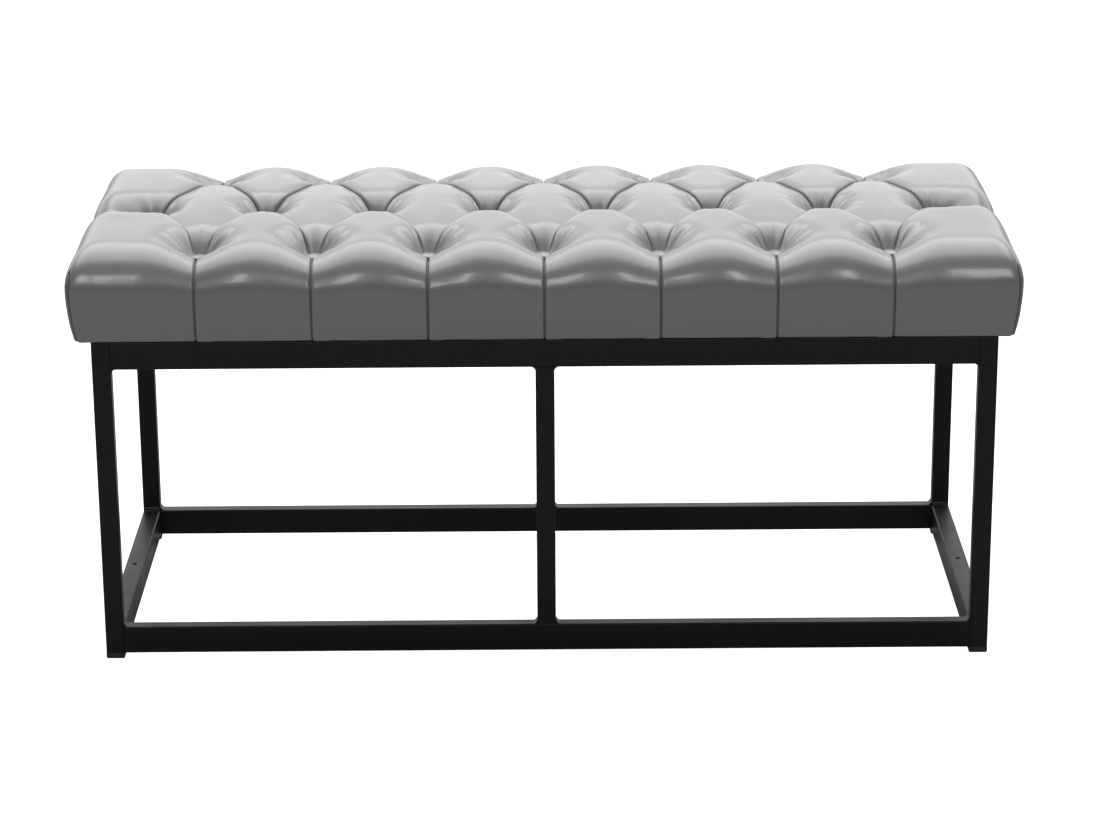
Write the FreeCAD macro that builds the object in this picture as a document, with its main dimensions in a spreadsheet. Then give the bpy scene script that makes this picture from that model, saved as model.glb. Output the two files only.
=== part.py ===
"""Deep-buttoned bench: a welded steel tube frame carrying one tufted seat cushion.

Millimetres, +Z up, +X along the length. The origin is on the floor under the middle of the bench.
"""

import FreeCAD, Part
import math
import os

import Sketcher
from FreeCAD import Vector

doc = FreeCAD.newDocument("upholstered_bench")

# Driving dimensions: name, value in millimetres (or a count), meaning

SIZES = (
    ("cushion_length", "1000", "length of the cushion at its widest"),
    ("cushion_depth", "400", "depth of the cushion at its widest"),
    ("seat_height", "460", "highest point of the tufts above the floor"),
    ("cushion_height", "102.7", "from the cushion's underside to the highest point of its tufts"),
    ("end_overhang", "25", "how far the cushion stands out past the ends of the steel frame"),
    ("side_overhang", "10", "how far the cushion stands out past the front and back of the frame"),
    ("leg_width", "20", "leg and upright size along the length"),
    ("leg_depth", "15", "leg, upright and long rail size along the depth"),
    ("rail_height", "30", "height of every rail"),
    ("end_rail_width", "20", "width of the four end rails"),
    ("tube_wall", "1.5", "wall of every tube"),
    ("tube_corner", "1.5", "outer corner radius of every tube"),
    ("weld_size", "4", "leg of the fillet welds"),
    ("weld_hollow", "1.57", "from each leg's face to the middle of a weld's hollow face"),
    ("glide_height", "7", "part of a glide that shows under the leg"),
    ("glide_corner", "3", "rounding of a glide's lower edges"),
    ("glide_plug_length", "22", "part of a glide inside the leg"),
    ("glide_rib_reach", "0.8", "how far the glide's ribs stand out of its plug"),
    ("glide_rib_pitch", "5", "distance between the glide's ribs"),
    ("plug_gap", "0.15", "gap between the glide's ribs and the tube"),
    ("drain_hole", "5.5", "diameter of the hole in the middle of a low end rail"),
    ("screw_hole", "6.6", "diameter of the seat screw holes"),
    ("screw_shank", "6", "diameter of a seat screw"),
    ("screw_length", "42", "length of a seat screw under its head"),
    ("screw_head", "12", "diameter of a seat screw's head"),
    ("screw_head_height", "3.5", "height of a seat screw's head"),
    ("insert_diameter", "10", "outer diameter of a threaded insert in the board"),
    ("insert_length", "12", "length of a threaded insert"),
    ("thread_gap", "0.1", "gap between the screw, its insert and the board"),
    ("crown_rise", "6", "rise of the top from its front edge to its middle"),
    ("wall_swell_height", "55", "height of the cushion's widest line above its bottom"),
    ("wall_draw_in", "9.5", "how far the sides are drawn in at the bottom"),
    ("shoulder_run", "38", "depth of the rounded front and back shoulders"),
    ("end_round", "42", "length of the rounded ends"),
    ("corner_run", "30", "length of the rounded upright corners"),
    ("corner_draw_in", "24", "how far the upright corners are rounded back"),
    ("end_margin", "74.75", "from the end button of the middle row to the cushion's end"),
    ("side_margin", "70", "from the outer button rows to the front and back of the cushion"),
    ("outer_row_buttons", "7", "buttons in the front row and in the back row"),
    ("button_sink", "30", "depth of a button below the tufts around it"),
    ("hem_pleat_depth", "4", "depth of the upright pleats at the bottom edge"),
    ("pleat_fade", "3.2", "how fast the upright pleats get shallower"),
    ("tuft_fullness", "2.6", "2 is a round tuft, more is a fuller one with tighter pleats"),
    ("pleat_floor", "1.5", "half the width of a folded pleat's floor"),
    ("soft_gap", "0.3", "gap between soft pieces and what they touch"),
    ("hem_thick", "1.5", "thickness of the cover's hem under the board"),
    ("hem_width", "35", "width of the hem under the board"),
    ("cover_wrap", "6.5", "from the cushion's bottom edge to the board's edge"),
    ("board_thick", "15", "thickness of the seat board"),
    ("board_corner", "22", "corner radius of the seat board"),
    ("foam_inset", "18", "from the cushion's widest line to the foam"),
    ("fibre_thick", "28", "cover and fibre padding above the foam"),
    ("foam_corner", "26", "radius of the foam's upright corners"),
    ("foam_bevel", "14", "bevel of the foam's top edges"),
    ("tuft_hole", "22", "half width of a tuft hole cut in the foam"),
    ("tuft_hole_sides", "8", "cuts round a tuft hole, a button's pocket and a screw's path in the hem"),
    ("tuft_floor_thick", "2.2", "cover and fibre squeezed under a button"),
    ("button_radius", "10", "radius of a covered button"),
    ("button_rim", "2.5", "height of a covered button's rim"),
    ("button_rise", "2", "rise of a covered button's face above its rim"),
    ("button_flat", "6", "radius of the flat middle of a button's face"),
    ("button_sides", "12", "facets round a covered button"),
    ("cord_radius", "1", "half width of the button cord"),
    ("cord_sides", "6", "sides of the button cord and of its path through the seat"),
    ("foam_cord_path", "4", "half width of the cord's path through the foam"),
    ("board_cord_path", "3", "half width of the cord's path through the board"),
    ("dust_cover_thick", "0.9", "thickness of the dust cover under the board"),
)

sheet = doc.addObject("Spreadsheet::Sheet", "Sizes")
for row, (alias, number, meaning) in enumerate(SIZES, start=1):
    sheet.set(f"A{row}", meaning)
    sheet.set(f"B{row}", number)
    sheet.setAlias(f"B{row}", alias)
doc.recompute()


def size(alias):
    """The value of one driving dimension."""
    return float(sheet.get(alias))


# Levels and places that several pieces share, as expressions of the sheet

CUSHION_BOTTOM = "(Sizes.seat_height - Sizes.cushion_height)"
FRAME_HEIGHT = f"({CUSHION_BOTTOM} - Sizes.soft_gap)"
FRAME_LENGTH = "(Sizes.cushion_length - 2 * Sizes.end_overhang)"
FRAME_DEPTH = "(Sizes.cushion_depth - 2 * Sizes.side_overhang)"
FRAME_X = f"({FRAME_LENGTH} - Sizes.leg_width) / 2"
FRAME_Y = f"({FRAME_DEPTH} - Sizes.leg_depth) / 2"
LEG_LENGTH = f"({FRAME_HEIGHT} - Sizes.glide_height)"
LEG_Z = f"Sizes.glide_height + {LEG_LENGTH} / 2"
LOW_RAIL_Z = "(Sizes.glide_height + Sizes.rail_height / 2)"
TOP_RAIL_Z = f"({FRAME_HEIGHT} - Sizes.rail_height / 2)"
BOARD_BOTTOM = f"({CUSHION_BOTTOM} + Sizes.hem_thick + Sizes.soft_gap)"
BOARD_TOP = f"({BOARD_BOTTOM} + Sizes.board_thick)"
FOAM_BOTTOM = f"({BOARD_TOP} + Sizes.soft_gap)"
FOAM_TOP = "(Sizes.seat_height - Sizes.fibre_thick)"
FOAM_LENGTH = "(Sizes.cushion_length - 2 * Sizes.foam_inset)"
FOAM_DEPTH = "(Sizes.cushion_depth - 2 * Sizes.foam_inset)"
BOARD_LENGTH = "(Sizes.cushion_length - 2 * Sizes.wall_draw_in - 2 * Sizes.cover_wrap)"
BOARD_DEPTH = "(Sizes.cushion_depth - 2 * Sizes.wall_draw_in - 2 * Sizes.cover_wrap)"

# How far a cutting shape reaches past what it cuts
OVERRUN = 1.0


def cushion_bottom():
    """Level of the cushion's underside."""
    return size("seat_height") - size("cushion_height")


def frame_height():
    """Level of the steel frame's top."""
    return cushion_bottom() - size("soft_gap")


def frame_length():
    """Outside length of the steel frame."""
    return size("cushion_length") - 2 * size("end_overhang")


def frame_depth():
    """Outside depth of the steel frame."""
    return size("cushion_depth") - 2 * size("side_overhang")


sub_parts = []


def keep(piece):
    """Lists a finished sub-part and gives it back."""
    piece.Label = piece.Name
    sub_parts.append(piece)
    return piece


def place(piece, **offsets):
    """Binds a piece's place to expressions, one for each axis that is named."""
    for axis, expression in offsets.items():
        piece.setExpression(f"Placement.Base.{axis}", expression)


def origin_plane(body, role):
    """One of a body's three origin planes, by its role."""
    return next(item for item in body.Origin.OriginFeatures if item.Role == role)


def new_sketch(body, name, role):
    """An empty sketch on one of the body's origin planes."""
    sketch = body.newObject("Sketcher::SketchObject", name)
    sketch.AttachmentSupport = [(origin_plane(body, role), "")]
    sketch.MapMode = "FlatFace"
    return sketch


def add_rectangle(sketch, label, width, height):
    """Adds a rectangle about the sketch's origin, with its sides bound to two expressions."""
    first = sketch.GeometryCount
    right, top = 10.0, 5.0
    corners = [Vector(-right, -top), Vector(right, -top), Vector(right, top), Vector(-right, top)]
    for start, end in zip(corners, corners[1:] + corners[:1]):
        sketch.addGeometry(Part.LineSegment(start, end), False)
    for side in range(4):
        sketch.addConstraint(Sketcher.Constraint("Coincident", first + side, 2, first + (side + 1) % 4, 1))
    for side in (0, 2):
        sketch.addConstraint(Sketcher.Constraint("Horizontal", first + side))
        sketch.addConstraint(Sketcher.Constraint("Vertical", first + side + 1))
    sketch.addConstraint(Sketcher.Constraint("Symmetric", first, 1, first + 1, 2, -1, 1))
    wide = sketch.addConstraint(Sketcher.Constraint("DistanceX", first, 1, first, 2, 2 * right))
    sketch.renameConstraint(wide, f"{label}_width")
    sketch.setExpression(f"Constraints.{label}_width", width)
    high = sketch.addConstraint(Sketcher.Constraint("DistanceY", first + 1, 1, first + 1, 2, 2 * top))
    sketch.renameConstraint(high, f"{label}_height")
    sketch.setExpression(f"Constraints.{label}_height", height)


def add_circle(sketch, label, diameter, across=None, up=None):
    """Adds a circle whose centre lies at the given expressions, or on an axis where there is none."""
    index = sketch.addGeometry(Part.Circle(Vector(1, 1, 0), Vector(0, 0, 1), 2), False)
    size_of = sketch.addConstraint(Sketcher.Constraint("Diameter", index, 4))
    sketch.renameConstraint(size_of, f"{label}_diameter")
    sketch.setExpression(f"Constraints.{label}_diameter", diameter)
    for kind, way, expression in (("DistanceX", "across", across), ("DistanceY", "up", up)):
        distance = sketch.addConstraint(Sketcher.Constraint(kind, -1, 1, index, 3, 1.0))
        sketch.renameConstraint(distance, f"{label}_{way}")
        sketch.setExpression(f"Constraints.{label}_{way}", expression or "0")


def symmetric_pad(body, name, sketch, length):
    """Pads a sketch to both sides of its plane."""
    pad = body.newObject("PartDesign::Pad", name)
    pad.Profile = sketch
    pad.SideType = "Symmetric"
    pad.setExpression("Length", length)
    return pad


def through_pocket(body, name, sketch):
    """Cuts a sketch through everything on both sides of its plane."""
    before = body.Shape.Volume
    pocket = body.newObject("PartDesign::Pocket", name)
    pocket.Profile = sketch
    pocket.SideType = "Symmetric"
    pocket.Type = "ThroughAll"
    doc.recompute()
    if body.Shape.Volume >= before:
        raise RuntimeError(f"{body.Name}: {name} cuts nothing")
    return pocket


def edges_where(shape, test):
    """The names of the edges whose middle point and direction pass a test."""
    names = []
    for number, edge in enumerate(shape.Edges, start=1):
        middle = edge.valueAt((edge.FirstParameter + edge.LastParameter) / 2)
        run = edge.Vertexes[-1].Point - edge.Vertexes[0].Point
        if test(middle, run):
            names.append(f"Edge{number}")
    return names


def fillet_edges(body, name, radius, test):
    """Rounds the edges of a body that pass a test."""
    doc.recompute()
    base = body.Tip
    fillet = body.newObject("PartDesign::Fillet", name)
    fillet.Base = (base, edges_where(base.Shape, test))
    fillet.setExpression("Radius", radius)
    doc.recompute()
    return fillet


# Steel frame

PLANES = {"x": "YZ_Plane", "y": "XZ_Plane", "z": "XY_Plane"}


def tube(name, along, width, height, length):
    """A rectangular tube about its own middle, with rounded outer corners."""
    body = doc.addObject("PartDesign::Body", name)
    section = new_sketch(body, f"{name}_section", PLANES[along])
    add_rectangle(section, "outer", width, height)
    add_rectangle(section, "inner", f"{width} - 2 * Sizes.tube_wall", f"{height} - 2 * Sizes.tube_wall")
    symmetric_pad(body, f"{name}_pad", section, length)
    doc.recompute()
    box = body.Shape.BoundBox
    across = [axis for axis in "xyz" if axis != along]
    half = {"x": box.XMax, "y": box.YMax, "z": box.ZMax}

    def is_outer_corner(middle, run):
        lies_along = abs(getattr(run, along)) > max(abs(getattr(run, axis)) for axis in across)
        return lies_along and all(abs(abs(getattr(middle, axis)) - half[axis]) < 1e-4 for axis in across)

    fillet_edges(body, f"{name}_corners", "Sizes.tube_corner", is_outer_corner)
    return keep(body)


SIDES = (("left", "-1"), ("right", "1"))
FACES = (("front", "-1"), ("rear", "1"))

for face, toward in FACES:
    for side, out in SIDES:
        leg = tube(f"leg_{face}_{side}", "z", "Sizes.leg_width", "Sizes.leg_depth", LEG_LENGTH)
        place(leg, x=f"{out} * {FRAME_X}", y=f"{toward} * {FRAME_Y}", z=LEG_Z)
    upright_length = f"{LEG_LENGTH} - 2 * Sizes.rail_height"
    upright = tube(f"upright_{face}_middle", "z", "Sizes.leg_width", "Sizes.leg_depth", upright_length)
    place(upright, y=f"{toward} * {FRAME_Y}", z=LEG_Z)
    for level, height in (("top", TOP_RAIL_Z), ("bottom", LOW_RAIL_Z)):
        long_rail_length = f"{FRAME_LENGTH} - 2 * Sizes.leg_width"
        rail = tube(f"{level}_rail_{face}", "x", "Sizes.leg_depth", "Sizes.rail_height", long_rail_length)
        place(rail, y=f"{toward} * {FRAME_Y}", z=height)

for side, out in SIDES:
    for level, height in (("top", TOP_RAIL_Z), ("bottom", LOW_RAIL_Z)):
        end_rail_length = f"{FRAME_DEPTH} - 2 * Sizes.leg_depth"
        name = f"{level}_end_rail_{side}"
        end_rail = tube(name, "y", "Sizes.end_rail_width", "Sizes.rail_height", end_rail_length)
        hole = new_sketch(end_rail, f"{name}_hole", "XY_Plane")
        add_circle(hole, "middle", "Sizes.screw_hole" if level == "top" else "Sizes.drain_hole")
        through_pocket(end_rail, f"{name}_drilling", hole)
        place(end_rail, x=f"{out} * {FRAME_X}", z=height)


# Fillet welds in the inner corners of the frame


def weld_bead(corner, along_rail, away_from_rail, run):
    """One concave fillet weld: a corner point, the two faces it joins and the run of the bead."""
    leg = size("weld_size")
    start = corner - run * 0.5
    on_rail = start + along_rail * leg
    on_post = start + away_from_rail * leg
    hollow = start + (along_rail + away_from_rail) * size("weld_hollow")
    outline = [
        Part.LineSegment(start, on_rail).toShape(),
        Part.Arc(on_rail, hollow, on_post).toShape(),
        Part.LineSegment(on_post, start).toShape(),
    ]
    return Part.Face(Part.Wire(outline)).extrude(run)


def frame_welds():
    """Every bead: under the top rails and on the bottom rails, where they meet legs and uprights."""
    post_x = frame_length() / 2 - size("leg_width")
    post_y = frame_depth() / 2 - size("leg_depth")
    rail_y = frame_depth() / 2 - size("leg_depth") / 2
    rail_x = frame_length() / 2 - size("leg_width") / 2
    run_y = Vector(0, size("leg_depth") - 2 * size("tube_corner"), 0)
    run_x = Vector(size("end_rail_width") - 2 * size("tube_corner"), 0, 0)
    under_top = (frame_height() - size("rail_height"), Vector(0, 0, -1))
    over_bottom = (size("glide_height") + size("rail_height"), Vector(0, 0, 1))
    middle_x = size("leg_width") / 2
    beads = []
    for level, away in (under_top, over_bottom):
        for y in (-rail_y, rail_y):
            for x, along in ((-post_x, 1), (-middle_x, -1), (middle_x, 1), (post_x, -1)):
                beads.append(weld_bead(Vector(x, y, level), Vector(along, 0, 0), away, run_y))
        for x in (-rail_x, rail_x):
            for y, along in ((-post_y, 1), (post_y, -1)):
                beads.append(weld_bead(Vector(x, y, level), Vector(0, along, 0), away, run_x))
    return Part.makeCompound(beads)


welds = keep(doc.addObject("Part::Feature", "weld_beads"))
welds.Shape = frame_welds()


# Glides: a foot under each leg with a ribbed plug inside the tube


def glide(name):
    """One plastic glide, standing on its own origin."""
    body = doc.addObject("PartDesign::Body", name)
    foot = new_sketch(body, f"{name}_foot_outline", "XY_Plane")
    add_rectangle(foot, "foot", "Sizes.leg_width", "Sizes.leg_depth")
    foot_pad = body.newObject("PartDesign::Pad", f"{name}_foot")
    foot_pad.Profile = foot
    foot_pad.setExpression("Length", "Sizes.glide_height")
    doc.recompute()
    fillet_edges(body, f"{name}_lower_edges", "Sizes.glide_corner", lambda middle, run: middle.z < 1e-4)

    plug = new_sketch(body, f"{name}_plug_outline", "XY_Plane")
    narrow = "2 * Sizes.tube_wall - 2 * Sizes.plug_gap - 2 * Sizes.glide_rib_reach"
    add_rectangle(plug, "plug", f"Sizes.leg_width - {narrow}", f"Sizes.leg_depth - {narrow}")
    plug_pad = body.newObject("PartDesign::Pad", f"{name}_plug")
    plug_pad.Profile = plug
    plug_pad.setExpression("Length", "Sizes.glide_height + Sizes.glide_plug_length")

    rib = new_sketch(body, f"{name}_rib_outline", "XY_Plane")
    rib.setExpression("AttachmentOffset.Base.z", "Sizes.glide_height + Sizes.glide_rib_pitch")
    fit = "2 * Sizes.tube_wall - 2 * Sizes.plug_gap"
    add_rectangle(rib, "rib", f"Sizes.leg_width - {fit}", f"Sizes.leg_depth - {fit}")
    rib_pad = body.newObject("PartDesign::Pad", f"{name}_rib")
    rib_pad.Profile = rib
    rib_pad.setExpression("Length", "Sizes.glide_rib_pitch / 3")
    ribs = body.newObject("PartDesign::LinearPattern", f"{name}_ribs")
    ribs.Originals = [rib_pad]
    ribs.Direction = (next(axis for axis in body.Origin.OriginFeatures if axis.Role == "Z_Axis"), [""])
    ribs.Mode = "Spacing"
    ribs.setExpression("Offset", "Sizes.glide_rib_pitch")
    ribs.Occurrences = 3
    body.Tip = ribs
    return keep(body)


for face, toward in FACES:
    for side, out in SIDES:
        foot = glide(f"glide_{face}_{side}")
        place(foot, x=f"{out} * {FRAME_X}", y=f"{toward} * {FRAME_Y}")


# Buttons: where they are and how deep they sit


def half_pitch():
    """Half the distance between two buttons of a row."""
    span = size("cushion_length") - 2 * size("end_margin")
    return span / (2 * size("outer_row_buttons"))


def row_y():
    """Distance of the outer button rows from the middle row."""
    return size("cushion_depth") / 2 - size("side_margin")


def flat_half():
    """Half the depth of the top between its rounded shoulders."""
    return size("cushion_depth") / 2 - size("shoulder_run")


def crown_radius():
    """Radius of the arc that the tufts' crests follow across the depth."""
    return (flat_half() ** 2 + size("crown_rise") ** 2) / (2 * size("crown_rise"))


def crown_drop(y):
    """How far the crests lie below the highest one, at a distance from the middle line."""
    return crown_radius() - math.sqrt(crown_radius() ** 2 - y * y)


def button_points():
    """The middle of each button's underside: outer rows, with the middle row half a pitch aside."""
    outer = int(size("outer_row_buttons"))
    points = []
    for y, count in ((-row_y(), outer), (0.0, outer + 1), (row_y(), outer)):
        level = size("seat_height") - crown_drop(y) - size("button_sink")
        points += [Vector((2 * i - count + 1) * half_pitch(), y, level) for i in range(count)]
    return points


# Tufted outside of the cushion


def arch(share):
    """Height of a tuft across its width, from 0 at a pleat to 1 in its middle and on."""
    return 1 - abs(1 - 2 * min(share, 0.5)) ** size("tuft_fullness")


def steps_from_middle_button(x):
    """Half pitches from the nearest button of the middle row, and whether x lies past its end button."""
    last = int(size("outer_row_buttons"))
    steps = abs(x) / half_pitch()
    if steps > last:
        return steps - last, True
    nearest = 2 * round((steps - last % 2) / 2) + last % 2
    return abs(steps - nearest), False


def shoulder_rise():
    """Height of the rounded shoulder above the cushion's widest line."""
    return size("cushion_height") - size("crown_rise") - size("wall_swell_height")


def shoulder_length():
    """Length round the shoulder, a quarter of an ellipse."""
    return math.pi / 2 * math.sqrt((size("shoulder_run") ** 2 + shoulder_rise() ** 2) / 2)


def hem_reach():
    """Reach of the bottom edge from the middle line, over the top, the shoulder and the wall."""
    return flat_half() + shoulder_length() + size("wall_swell_height")


def tuft_depth(x, reach):
    """How far the cover is pulled in, at a place along the bench and a reach from its middle line.

    The reach runs over the top, round the shoulder and down the wall. Between the outer rows the pleats
    make diamonds, and past them each outer button has one upright pleat, down to the hem. The end
    buttons of the middle row have one pleat each, out over the end.
    """
    step, past_end = steps_from_middle_button(x)
    sink = size("button_sink")
    if reach > row_y():
        hem = size("hem_pleat_depth")
        left = 1 - min((reach - row_y()) / (hem_reach() - row_y()), 1.0)
        share = 0.5 if past_end else (1 - step) / 2
        return (hem + (sink - hem) * left ** size("pleat_fade")) * (1 - arch(share))
    deep = reach / row_y()
    outward = (step + deep) / 2
    if past_end:
        return sink / 2 * (2 - arch(outward) - arch(deep / 2))
    return sink / 2 * (2 - arch(min(outward, 1 - outward)) - arch(abs(deep - step) / 2))


def pleat_y(x):
    """Distance of the diamonds' pleats from the middle line: a zigzag between the button rows."""
    step, past_end = steps_from_middle_button(x)
    return 0.0 if past_end else row_y() * step


def rounding(x, run):
    """0 on the straight part of the bench, growing to 1 along a quarter circle at its end."""
    past = (abs(x) - (size("cushion_length") / 2 - run)) / run
    return 1 - math.sqrt(1 - min(max(past, 0.0), 1.0) ** 2)


# Facets of one outline, over the wall, the shoulder, the front of the top and the diamonds
WALL_STEPS = 3
SHOULDER_STEPS = 4
TOP_STEPS = 4
DIAMOND_STEPS = 8


def outline_points(x):
    """The cushion's outline across its depth at one place along it, from the front bottom edge over
    the top to the back bottom edge."""
    end = rounding(x, size("end_round"))
    pull = 1 - end
    half = size("cushion_depth") / 2 - size("corner_draw_in") * rounding(x, size("corner_run"))
    edge = half - size("shoulder_run")
    bottom = cushion_bottom()
    swell = size("wall_swell_height")
    drawn_in = size("wall_draw_in")
    beyond = max(abs(x) - (size("cushion_length") / 2 - drawn_in), 0.0)
    lift = swell * (1 - math.sqrt(1 - min(beyond / drawn_in, 1.0)))
    rise = shoulder_rise() * pull

    front = []
    for i in range(WALL_STEPS + 1):
        z = lift + (swell - lift) * i / WALL_STEPS
        depth = pull * tuft_depth(x, hem_reach() - z)
        front.append(Vector(x, depth + drawn_in * (1 - z / swell) ** 2 - half, bottom + z))
    for i in range(1, SHOULDER_STEPS + 1):
        turn = math.pi / 2 * i / SHOULDER_STEPS
        depth = pull * tuft_depth(x, hem_reach() - swell - shoulder_length() * i / SHOULDER_STEPS)
        y = -edge - (size("shoulder_run") - depth) * math.cos(turn)
        front.append(Vector(x, y, bottom + swell + (rise - depth) * math.sin(turn)))

    def on_top(y):
        """The point of the top at a distance from the middle line."""
        reach = abs(y) * flat_half() / edge
        level = bottom + swell + rise + pull * (size("crown_rise") - crown_drop(reach))
        return Vector(x, y, level - pull * tuft_depth(x, reach))

    fold = max(pleat_y(x) * edge / flat_half(), size("pleat_floor"))
    front += [on_top(-edge + (edge - fold) * i / TOP_STEPS) for i in range(1, TOP_STEPS + 1)]
    middle = [on_top(-fold + 2 * fold * i / DIAMOND_STEPS) for i in range(1, DIAMOND_STEPS)]
    back = [Vector(point.x, -point.y, point.z) for point in reversed(front)]
    return front + middle + back


# Places of the outlines: shares of a half pitch, close together at the steep side of a pleat, then
# shares of the stretch up to the rounded end, then angles round it
PLEAT_SHARES = (0.0, 0.14, 0.34, 0.62)
STRAIGHT_SHARES = (0.0, 0.5)
END_ANGLES = (0, 25, 48, 68, 83)


def outline_places():
    """Where the outlines stand along the bench, with one at every pleat line."""
    count = int(size("outer_row_buttons"))
    places = []
    for i in range(count):
        shares = PLEAT_SHARES if (i + count) % 2 else tuple(1 - share for share in reversed(PLEAT_SHARES))
        places += [(i + share) * half_pitch() for share in shares if share < 1]
        places += [] if (i + count) % 2 else [i * half_pitch()]
    straight_end = size("cushion_length") / 2 - size("end_round")
    last = count * half_pitch()
    places += [last + (straight_end - last) * share for share in STRAIGHT_SHARES]
    places += [straight_end + size("end_round") * math.sin(math.radians(angle)) for angle in END_ANGLES]
    places = sorted(set(round(place, 6) for place in places))
    return [-place for place in reversed(places) if place > 0] + places


def flat_faces(*corners):
    """The flat face or the two triangles that span four corners in order."""
    first, second, third, fourth = corners
    across = (second - first).cross(fourth - first)
    if across.Length > 0 and abs((third - first).dot(across)) < 1e-4 * across.Length:
        outlines = [[first, second, third, fourth]]
    else:
        outlines = [[first, second, third], [first, third, fourth]]
    return [Part.Face(Part.makePolygon(outline + outline[:1])) for outline in outlines]


def tufted_solid():
    """The whole outside of the cushion, spanned by facets from each outline to the next."""
    outlines = [outline_points(x) for x in outline_places()]
    faces = []
    for here, there in zip(outlines, outlines[1:]):
        count = len(here)
        for i in range(count):
            after = (i + 1) % count
            faces += flat_faces(here[i], there[i], there[after], here[after])
    faces += [Part.Face(Part.makePolygon(outline + outline[:1])) for outline in (outlines[0], outlines[-1])]
    shell = Part.Shell(faces)
    shell.sewShape()
    solid = Part.Solid(shell)
    if solid.Volume < 0:
        solid.reverse()
    return solid


def feature(name, shape):
    """A document object that holds one worked-out shape."""
    made = doc.addObject("Part::Feature", name)
    made.Shape = shape
    return made


def cut(name, base, tool):
    """One object cut by another."""
    made = doc.addObject("Part::Cut", name)
    made.Base = base
    made.Tool = tool
    return made


def prism(point, half_width, sides, height):
    """An upright prism on a point, as wide as a round hole of the same half width."""
    corner = half_width / math.cos(math.pi / sides)
    ring = [Vector(corner * math.cos(2 * math.pi * i / sides), corner * math.sin(2 * math.pi * i / sides), 0)
            for i in range(sides)]
    base = Part.Face(Part.makePolygon([point + corner_point for corner_point in ring + ring[:1]]))
    return base.extrude(Vector(0, 0, height))


def prisms(name, half_width, sides, low, high):
    """One prism at every button, between two levels that are worked out from its point."""
    made = []
    for point in button_points():
        foot = Vector(point.x, point.y, low(point))
        made.append(prism(foot, half_width, sides, high(point) - foot.z))
    return feature(name, Part.makeCompound(made))


def board_bottom():
    """Level of the board's underside."""
    return cushion_bottom() + size("hem_thick") + size("soft_gap")


def plug_floor(point):
    """Level of the padding's underside below a button."""
    return point.z - size("soft_gap") - size("tuft_floor_thick")


# Seat board and foam block


def is_upright(middle, run):
    """Whether an edge stands upright."""
    return abs(run.z) > 1 and abs(run.x) + abs(run.y) < 1e-6


def block(name, length, depth, low, high, corner, grow):
    """A block with rounded upright corners between two levels, grown by a gap on every side."""
    body = doc.addObject("PartDesign::Body", name)
    outline = new_sketch(body, f"{name}_outline", "XY_Plane")
    add_rectangle(outline, "block", f"{length} + 2 * {grow}", f"{depth} + 2 * {grow}")
    pad = body.newObject("PartDesign::Pad", f"{name}_pad")
    pad.Profile = outline
    pad.setExpression("Length", f"{high} - {low} + 2 * {grow}")
    fillet_edges(body, f"{name}_corners", f"{corner} + {grow}", is_upright)
    place(body, z=f"{low} - {grow}")
    return body


def board_block(name, grow="0"):
    """The seat board's block."""
    return block(name, BOARD_LENGTH, BOARD_DEPTH, BOARD_BOTTOM, BOARD_TOP, "Sizes.board_corner", grow)


def foam_body(name, grow="0"):
    """The foam's block, bevelled along its top edges."""
    body = block(name, FOAM_LENGTH, FOAM_DEPTH, FOAM_BOTTOM, FOAM_TOP, "Sizes.foam_corner", grow)
    top = body.Tip.Shape.BoundBox.ZMax
    bevel = body.newObject("PartDesign::Chamfer", f"{name}_bevel")
    rounded = body.Group[-2]
    bevel.Base = (rounded, edges_where(rounded.Shape, lambda middle, run: middle.z > top - 1e-4))
    bevel.setExpression("Size", "Sizes.foam_bevel")
    doc.recompute()
    return body


tuft_sides = int(size("tuft_hole_sides"))
cord_sides = int(size("cord_sides"))
above_all = size("seat_height") + OVERRUN

plain_board = board_block("plain_board")
insert_holes = new_sketch(plain_board, "insert_holes", "XY_Plane")
for side, out in SIDES:
    bore = "Sizes.insert_diameter + 2 * Sizes.thread_gap"
    add_circle(insert_holes, side, bore, across=f"{out} * {FRAME_X}")
through_pocket(plain_board, "insert_drilling", insert_holes)
board_paths = prisms("board_cord_paths", size("board_cord_path"), cord_sides,
                     lambda point: board_bottom() - OVERRUN, lambda point: above_all)
keep(cut("seat_board", plain_board, board_paths))

tuft_cuts = prisms("tuft_cuts", size("tuft_hole"), tuft_sides,
                   lambda point: plug_floor(point) - size("soft_gap"), lambda point: above_all)
foam_paths = prisms("foam_cord_paths", size("foam_cord_path"), cord_sides,
                    lambda point: board_bottom(), lambda point: above_all)
keep(cut("foam_block", cut("foam_with_tuft_cuts", foam_body("plain_foam"), tuft_cuts), foam_paths))


# Seat cover: the tufted leather with its fibre padding, drawn down over foam and board

padding_plugs = prisms("padding_plugs", size("tuft_hole") - size("soft_gap"), tuft_sides,
                       plug_floor, lambda point: above_all)
foam_space = cut("foam_space", foam_body("grown_foam", "Sizes.soft_gap"), padding_plugs)
board_space = board_block("board_space", "Sizes.soft_gap")

hem_opening = doc.addObject("Part::Box", "hem_opening")
hem_opening.setExpression("Length", f"{BOARD_LENGTH} - 2 * Sizes.hem_width")
hem_opening.setExpression("Width", f"{BOARD_DEPTH} - 2 * Sizes.hem_width")
hem_opening.setExpression("Height", f"Sizes.hem_thick + 2 * {OVERRUN}")
place(hem_opening, x=f"Sizes.hem_width - {BOARD_LENGTH} / 2", y=f"Sizes.hem_width - {BOARD_DEPTH} / 2",
      z=f"{CUSHION_BOTTOM} - {OVERRUN}")

button_pockets = prisms("button_pockets", size("button_radius") + size("soft_gap"), tuft_sides,
                        lambda point: point.z - size("soft_gap"), lambda point: above_all)
cover_paths = prisms("cover_cord_paths", size("cord_radius") + size("soft_gap"), cord_sides,
                     plug_floor, lambda point: point.z)


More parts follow.
